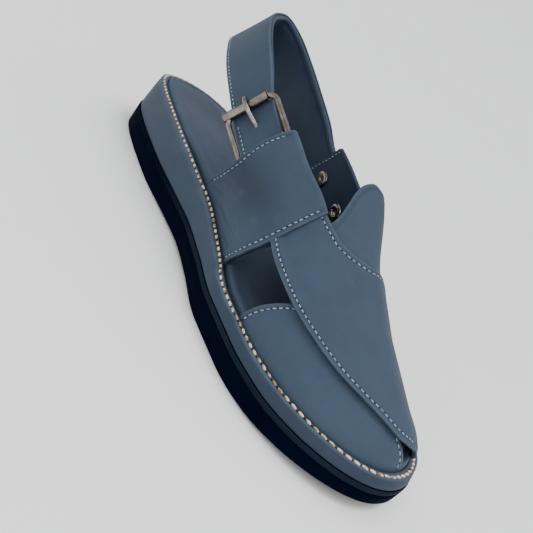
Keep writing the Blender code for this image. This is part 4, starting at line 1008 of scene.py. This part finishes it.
# heel strap: along, across, height, width and lean, as shares of the sole's and its own sizes
strap = {"thick": 3.0 * mm, "endThick": 2.2 * mm, "width": 29.5 * mm, "slack": 0.6 * mm, "bowLeft": 0.3,
         "pad": 0.7 * mm, "roll": 0.75 * mm, "stations": 220, "inset": 1.8 * mm, "soft": 0.7 * mm,
         "groove": 0.2 * mm,
         "inPocket": [(0.526, 0.164, 0.66), (0.490, 0.169, 0.70), (0.450, 0.175, 0.73)],
         "onQuarter": [(0.392, 0.880, 0.92), (0.450, 0.866, 0.90), (0.520, 0.856, 0.86)],
         "run": [(0.364, -0.304, 0.2460, 0.78, 13.0), (0.300, -0.300, 0.2750, 0.90, 10.0),
                 (0.235, -0.278, 0.2985, 0.98, 10.0), (0.180, -0.218, 0.3125, 1.00, 16.0),
                 (0.132, -0.118, 0.3190, 1.02, 26.0), (0.098, 0.030, 0.3195, 1.02, 31.0),
                 (0.118, 0.168, 0.3028, 1.06, 22.0), (0.170, 0.240, 0.2765, 1.09, 10.0),
                 (0.240, 0.272, 0.2520, 1.07, 6.0), (0.310, 0.292, 0.2320, 1.00, 5.0)]}
# the rivets' inner heads: (radius, height) as shares of the head and the cap
rivet = {"head": 4.15 * mm, "cap": 0.9 * mm, "shank": 1.2 * mm, "rear": (0.425, 0.870), "front": (0.502, 0.858),
         "flatHead": [(0.00, 0.88), (0.14, 0.89), (0.20, 0.95), (0.70, 0.97), (0.84, 0.85), (0.95, 0.60),
                      (1.00, 0.25)],
         "hollowHead": [(0.00, 0.20), (0.36, 0.20), (0.44, 0.45), (0.52, 0.98), (0.62, 1.15), (0.76, 1.10),
                        (0.92, 0.75), (1.00, 0.30)]}


def lastFrame(along, around):
    step = 1e-3
    ahead = onLast(along + step, around) - onLast(along - step, around)
    over = onLast(along, around + step) - onLast(along, around - step)
    return onLast(along, around), unit(np.cross(ahead, over)), unit(over if around < 0.5 else -over)


def lastBow(along, around, half):
    point, out, up = lastFrame(along, around)
    reach = np.linspace(0.005, 0.2, 60)
    besides = [onLast(np.full_like(reach, along), around + way * reach) - point for way in (-1, 1)]
    return max(np.interp(half, np.abs(b @ up), -(b @ out)) for b in besides)


def strapPath():
    def held(along, around, wide, stands):
        # a station that lies flat on the last, held off it
        point, out, up = lastFrame(along, around)
        bow = lastBow(along, around, wide * strap["width"] / 2)
        return [*(point + out * stands), *up, wide, strap["endThick"], bow]

    rows = []
    for along, around, wide in strap["inPocket"]:
        sunk = quarterLift(np.array(along), np.array(around)) - last["fit"] - strap["slack"]
        rows.append(held(along, around, wide, sunk - strap["endThick"] / 2))
    free = len(rows)
    for along, across, height, wide, lean in strap["run"]:
        place = along * seamLength + heelX, across * ballWidth, height * seamLength
        rows.append([*place, 0, 0, 1, wide, strap["thick"], 0])
    stands = last["leather"] + last["fit"] + strap["endThick"] / 2
    rows += [held(along, around, wide, stands) for along, around, wide in strap["onQuarter"]]
    rows = np.array(rows)
    rows[free, 7:] = strap["endThick"], rows[free - 1, 8] * strap["bowLeft"]
    run = np.gradient(rows[:, :3], axis=0)
    for row, spec in zip(range(free, free + len(strap["run"])), strap["run"]):
        along, lean = unit(run[row]), math.radians(spec[4])
        upright = unit(np.array((0, 0, 1)) - along[2] * along)
        rows[row, 3:6] = math.cos(lean) * upright + math.sin(lean) * np.cross(along, upright)
    return lineThrough(rows, np.array([1, 1, 1, 0, 0, 0, 0, 0, 0]))


strapLine = strapPath()


def strapFrame(s):
    row, ahead, behind = strapLine(s), strapLine(min(s + 0.006, 1)), strapLine(max(s - 0.006, 0))
    along = unit(ahead[:3] - behind[:3])
    axis = unit(row[3:6] - along * (along @ row[3:6]))
    return row[:3], along, axis, np.cross(axis, along), row[6] * strap["width"], row[7], row[8]


strapShares = np.linspace(0, 1, 1201)
strapPoints = np.array([strapLine(s)[:3] for s in strapShares])
strapTravel = np.r_[0, np.cumsum(np.linalg.norm(np.diff(strapPoints, axis=0), axis=1))]
buckle = {"along": 0.368, "length": 31.0 * mm, "wire": 1.4 * mm, "corner": 5.0 * mm, "fit": 0.5 * mm,
          "drop": 0.4 * mm, "lower": 12.9 * mm, "upper": 14.4 * mm, "roller": 2.55 * mm, "bore": 1.95 * mm,
          "seam": 0.9 * mm, "seamTurn": 0.9, "rollerLower": 13.9 * mm, "rollerUpper": 10.8 * mm,
          "pin": 1.2 * mm, "slot": 20.8 * mm, "pinTip": 3.6 * mm}
rollerX = buckle["along"] * seamLength + heelX
rollerTravel = float(np.interp(-rollerX, -strapPoints[:600, 0], strapTravel[:600]))
rollerShare = float(np.interp(rollerTravel, strapTravel, strapShares))
barShare = float(np.interp(rollerTravel - buckle["length"], strapTravel, strapShares))


def strapSection(s, padded):
    # top edge, outer face, lower edge, then the padded lining with the rolled rim at its top
    centre, along, axis, out, wide, thick, bow = strapFrame(s)
    half, deep, soft, groove = wide / 2, thick / 2, strap["soft"], strap["groove"]
    bends = [(soft * (1 - math.cos(a)), soft * (1 - math.sin(a))) for a in np.linspace(0, math.pi / 2, 5)]
    places = [(half - back, deep - down) for back, down in bends]
    for a in np.linspace(0.86, -0.86, 13)[1:-1]:
        sewn = groove * bump((a * half + half) - strap["inset"], 0.8 * mm)
        places.append((a * half, deep + 0.12 * mm * (1 - a * a) - sewn))
    for far in (1.4 * mm, 0.7 * mm, 0, -0.5 * mm):
        places.append((-half + strap["inset"] + far, deep - groove * bump(far, 0.8 * mm)))
    places += [(-half + down, deep - back) for back, down in bends[1:]]
    places += [(-half + 0.15 * mm, -deep + 0.5 * mm), (-half + 0.6 * mm, -deep)]
    for a in np.linspace(-0.9, 0.70, 16):
        places.append((a * half, -deep - strap["pad"] * padded * ramp(1 - abs(a), 0.0, 0.35)))
    places.append((0.76 * half, -deep + 0.15 * mm * padded))
    middle, high = half - 1.5 * mm, -deep + 1.35 * mm - strap["roll"]  # the rolled rim of the lining
    for a in np.radians(np.linspace(-165, 62, 10)):
        roll = np.array((middle + 1.42 * mm * math.cos(a), high + 1.30 * mm * math.sin(a)))
        flat = np.array((middle + 1.2 * mm * math.cos(a), -deep))
        places.append(tuple(roll * padded + flat * (1 - padded)))
    for back, thin, plain in ((0.80 * mm, 1.25 * mm, 0.1 * mm), (0.08 * mm, 1.15 * mm, 0.5 * mm)):
        places.append((half - back, (deep - thin) * padded - (deep - plain) * (1 - padded)))
    return [centre + axis * across + out * (off - bow * (across / half) ** 2) for across, off in places]


def makeHeelStrap():
    shares = np.linspace(0, 1, strap["stations"])
    fill = ramp(shares, 0.22, 0.32) * (1 - ramp(shares, 0.84, 0.92))  # padded between its two thin ends
    bm, loops = sweepRings([strapSection(s, float(padded)) for s, padded in zip(shares, fill)])
    index = {vert: k for loop in loops for k, vert in enumerate(loop)}
    liningFrom, liningTo = 25, len(loops[0]) - 2  # where the leather meets the lining, below and above
    for face in bm.faces:
        places = [index[vert] for vert in face.verts]
        if min(places) >= liningFrom and max(places) <= liningTo:
            face.material_index = 1
    for loop in (loops[0], loops[-1]):
        # edges in the loop's order, so that each run cuts the ends alike
        rim = dict.fromkeys(edge for vert in loop for edge in vert.link_edges if edge.other_vert(vert) in loop)
        bmesh.ops.edgeloop_fill(bm, edges=list(rim))
    bmesh.ops.recalc_face_normals(bm, faces=bm.faces)
    wear = np.zeros(len(bm.verts))
    bm.verts.index_update()
    wornAndLit = dict.fromkeys((1, 2, 3, 22, 23), 0.5)  # both edges, then the lining's rim
    wornAndLit.update(dict.fromkeys(range(len(loops[0]) - 8, len(loops[0]) - 3), 0.4))
    for loop in loops:
        for k, amount in wornAndLit.items():
            wear[loop[k].index] = amount
    finishPiece("heelStrap", bm, [blueLeather, liningAndShade], ["heel_strap"], 50,
                {"wear": wear, "dirt": 0 * wear})
    clear = 0.018  # the row stops short of the roller on both sides
    for name, start, end in (("strapStitches_front", 0.045, rollerShare - clear),
                             ("strapStitches", rollerShare + clear, 0.985)):
        line, outs = [], []
        for s in np.linspace(start, end, 240):
            centre, along, axis, out, wide, thick, bow = strapFrame(s)
            across = -wide / 2 + strap["inset"]
            off = thick / 2 - 0.16 * mm - bow * (across / (wide / 2)) ** 2
            line.append(centre + axis * across + out * off)
            outs.append(out)
        stitchRow(name, np.array(line), np.array(outs), fineStitch, paleThread)


def buckleAxes():
    # middle of the bar, middle of the roller, the way from bar to roller, out, and along the rods
    barMiddle, _, barAxis, barOut, _, barThick, barBow = strapFrame(barShare)
    rollMiddle, _, rollAxis, rollOut, _, rollThick, _ = strapFrame(rollerShare)
    bar = barMiddle - barOut * (barThick / 2 + barBow + buckle["drop"] + buckle["fit"] + buckle["wire"])
    roll = rollMiddle + rollOut * (rollThick / 2 + buckle["fit"] + buckle["roller"])
    back = unit(roll - bar)
    axis = barAxis + rollAxis
    axis = unit(axis - back * (axis @ back))
    return bar, roll, back, np.cross(axis, back) * np.sign(np.cross(axis, back) @ rollOut), axis


def makeBuckleFrame():
    # a round wire swept along a rounded rectangle
    bar, roll, back, out, axis = buckleAxes()
    corner, reach = buckle["corner"], np.linalg.norm(roll - bar)
    route = []
    for end, way, side in ((reach, 1, -1), (reach, 1, 1), (0, -1, 1), (0, -1, -1)):
        half = buckle["upper"] if side > 0 else buckle["lower"]
        pivot = bar + back * (end - way * corner) + axis * side * (half - corner)
        first = way * side < 0
        for k in range(9):
            a = math.pi / 2 * (k / 8 if first else 1 - k / 8)
            route.append((pivot + corner * (axis * side * math.cos(a) + back * way * math.sin(a)),
                          axis * side * math.cos(a) + back * way * math.sin(a)))
    rings = []
    for point, away in route + route[:1]:
        rings.append([point + buckle["wire"] * (away * math.cos(a) + out * math.sin(a))
                      for a in np.linspace(0, 2 * math.pi, 17)[:-1]])
    bm, loops = sweepRings(rings)
    closeSweep(bm, loops[0], loops[-1])
    bmesh.ops.recalc_face_normals(bm, faces=bm.faces)
    finishPiece("buckleFrame", bm, [oldNickel], ["buckle_frame"], 60)


def makeRoller():
    # sheet metal rolled into a tube; the seam stays open and the ends show the wall
    bar, roll, back, out, axis = buckleAxes()
    radius, bore = buckle["roller"], buckle["bore"]
    gap = buckle["seam"] / 2 / radius
    turns = np.linspace(gap, 2 * math.pi - gap, 33) + buckle["seamTurn"]
    soft, lower, upper = 0.18 * mm, -buckle["rollerLower"], buckle["rollerUpper"]
    rings = []
    for place, shrink in ((lower, soft), (lower + soft, 0), (upper - soft, 0), (upper, soft)):
        ring = [(radius - shrink) * (back * math.cos(a) + out * math.sin(a)) for a in turns]
        ring += [(bore + shrink) * (back * math.cos(a) + out * math.sin(a)) for a in turns[::-1]]
        rings.append([roll + axis * place + spot for spot in ring])
    bm, loops = sweepRings(rings)
    for loop in (loops[0], loops[-1]):  # the two ends, each a thin C
        half = len(loop) // 2
        for k in range(half - 1):
            bmesh.ops.contextual_create(bm, geom=[loop[k], loop[k + 1], loop[-2 - k], loop[-1 - k]])
    bmesh.ops.recalc_face_normals(bm, faces=bm.faces)
    finishPiece("buckleRoller", bm, [oldNickel], ["buckle_roller"], 40)


def makePin():
    # the pin comes up through the strap at the slot's place (no slot is cut) and rests over the roller
    bar, roll, back, out, axis = buckleAxes()
    radius, reach = buckle["pin"], np.linalg.norm(roll - bar)
    barMiddle, rollMiddle = strapFrame(barShare)[0], strapFrame(rollerShare)[0]
    away = unit(rollMiddle - barMiddle)
    lift = unit(out - away * (out @ away))
    under = -(strap["endThick"] / 2 + buckle["wire"] + buckle["fit"] + 0.9 * mm)
    top = (roll - barMiddle) @ lift + buckle["roller"] + radius
    over = (roll - barMiddle) @ away
    slot = buckle["slot"]
    route = np.array([(1.5 * mm, under), (slot - 7 * mm, under), (slot - 2.5 * mm, under * 0.8),
                      (slot - 0.6 * mm, -0.5 * mm), (slot + 1.6 * mm, 2.0 * mm),
                      (over - 2.8 * mm, top - 0.9 * mm), (over - 0.4 * mm, top), (over + 1.6 * mm, top - 0.35 * mm),
                      (over + buckle["pinTip"], top - 1.6 * mm)])
    line = lineThrough(route, np.array([1.0, 1.0]))
    steps = 60
    places = line(np.linspace(0, 1, steps))
    run = unit(np.gradient(places, axis=0))
    rings = []
    for (far, high), (dx, dz), k in zip(places, run, range(steps)):
        left = steps - 1 - k
        size = radius * (0.55, 0.85, 0.97)[left] if left < 3 else radius * (0.6 if k == 0 else 1.0)
        point, normal = barMiddle + away * far + lift * high, lift * dx - away * dz
        rings.append([point + size * (np.cross(away, lift) * math.cos(a) + normal * math.sin(a))
                      for a in np.linspace(0, 2 * math.pi, 15)[:-1]])
    bm, loops = sweepRings(rings)
    for loop in (loops[0], loops[-1]):
        bmesh.ops.contextual_create(bm, geom=loop)
    bmesh.ops.recalc_face_normals(bm, faces=bm.faces)
    finishPiece("bucklePin", bm, [oldNickel], ["buckle_prong"], 50)


def spinHead(bm, point, out, profile, steps=32):
    # a turned head: the profile is (radius, height) and is spun about the rivet's axis
    side = unit(np.cross(out, (1.0, 0.0, 0.0)))
    verts = [bm.verts.new(point + side * radius + out * height) for radius, height in profile]
    edges = [bm.edges.new(pair) for pair in zip(verts, verts[1:])]
    bmesh.ops.spin(bm, geom=verts + edges, cent=Vector(point), axis=Vector(out), angle=2 * math.pi,
                   steps=steps, use_merge=True)


def makeRivet(name, node, place, hollow):
    # a plain cap outside, a shank, and on the inside a flat head or a hollow, rolled one
    point, out, _ = lastFrame(*place)
    head, cap, shank, sunk = rivet["head"], rivet["cap"], rivet["shank"], last["fit"]
    dome = [(head * math.sin(a), cap * 1.25 * math.cos(a)) for a in np.linspace(0.0, math.pi / 2, 8)]
    face = rivet["hollowHead"] if hollow else rivet["flatHead"]
    bm = bmesh.new()
    inside = [(head * r, cap * h + sunk) for r, h in face]
    spinHead(bm, point, -out, inside + [(head, sunk), (shank, sunk), (0.0, sunk)])
    outer = last["leather"] + last["fit"] * 2 + strap["endThick"] + 0.1 * mm
    spinHead(bm, point + out * outer, out, dome + [(head, -0.05 * mm), (0.0, -0.05 * mm)])
    spinHead(bm, point, out, [(0.0, -0.2 * mm), (shank, -0.2 * mm), (shank, outer), (0.0, outer)])
    bmesh.ops.remove_doubles(bm, verts=bm.verts, dist=1e-6)
    bmesh.ops.recalc_face_normals(bm, faces=bm.faces)
    finishPiece(name, bm, [oldNickel], [node], 35)


makeHeelStrap()
print("heel strap made")
makeBuckleFrame()
makeRoller()
makePin()
makeRivet("rivetRear", "rivet_rear", rivet["rear"], False)
makeRivet("rivetFront", "rivet_front", rivet["front"], True)
print("buckle and rivets made")


# floor and light

# lamps: place, power, then the sun's angle or the panel's side
studio = {"floorSide": 6.0, "flatOut": 2.0, "sweep": 2.6, "floor": (0.86, 0.86, 0.85), "air": (0.94, 0.96, 1.0),
          "low": 0.28, "high": 1.28, "aim": (0.1, 0.0, 0.03),
          "key": ((0.35, 0.25, 1.20), 1.55, math.radians(30)),
          "fill": ((0.9, -0.5, 0.6), 5.2, 1.2), "front": ((0.62, -0.72, 0.36), 1.7, 0.5)}


def makeStudio():
    bm = bmesh.new()
    bmesh.ops.create_grid(bm, x_segments=60, y_segments=60, size=studio["floorSide"])
    for vert in bm.verts:  # it sweeps up far off, so no view meets an edge
        vert.co.z = studio["sweep"] * float(ramp(vert.co.xy.length, studio["flatOut"], studio["floorSide"]))
    mesh = bpy.data.meshes.new("floor")
    bm.to_mesh(mesh)
    bm.free()
    floor = bpy.data.objects.new("floor", mesh)
    bpy.context.scene.collection.objects.link(floor)
    made, nodes, links, shader = newMaterial("paleFloor")
    shader.inputs["Base Color"].default_value = (*studio["floor"], 1.0)
    shader.inputs["Roughness"].default_value = 0.9
    mesh.materials.append(made)
    mesh.shade_smooth()
    world = bpy.data.worlds.new("paleRoom")
    world.use_nodes = True
    nodes, links = world.node_tree.nodes, world.node_tree.links
    height = nodes.new("ShaderNodeSeparateXYZ")  # bright overhead, dimmer low down
    links.new(nodes.new("ShaderNodeTexCoord").outputs["Generated"], height.inputs["Vector"])
    glow = addRange(nodes, links, height.outputs["Z"], 0.0, 0.9, studio["low"], studio["high"])
    nodes["Background"].inputs["Color"].default_value = (*studio["air"], 1.0)
    links.new(glow, nodes["Background"].inputs["Strength"])
    bpy.context.scene.world = world
    for name, kind in (("key", "SUN"), ("fill", "AREA"), ("front", "AREA")):
        place, power, size = studio[name]
        lamp = bpy.data.objects.new(name, bpy.data.lights.new(name, kind))
        lamp.data.energy = power
        setattr(lamp.data, "angle" if kind == "SUN" else "size", size)
        lamp.location = place
        lamp.rotation_euler = (Vector(studio["aim"]) - Vector(place)).to_track_quat("-Z", "Y").to_euler()
        bpy.context.scene.collection.objects.link(lamp)


makeStudio()
bpy.context.view_layer.update()
print("studio lit")
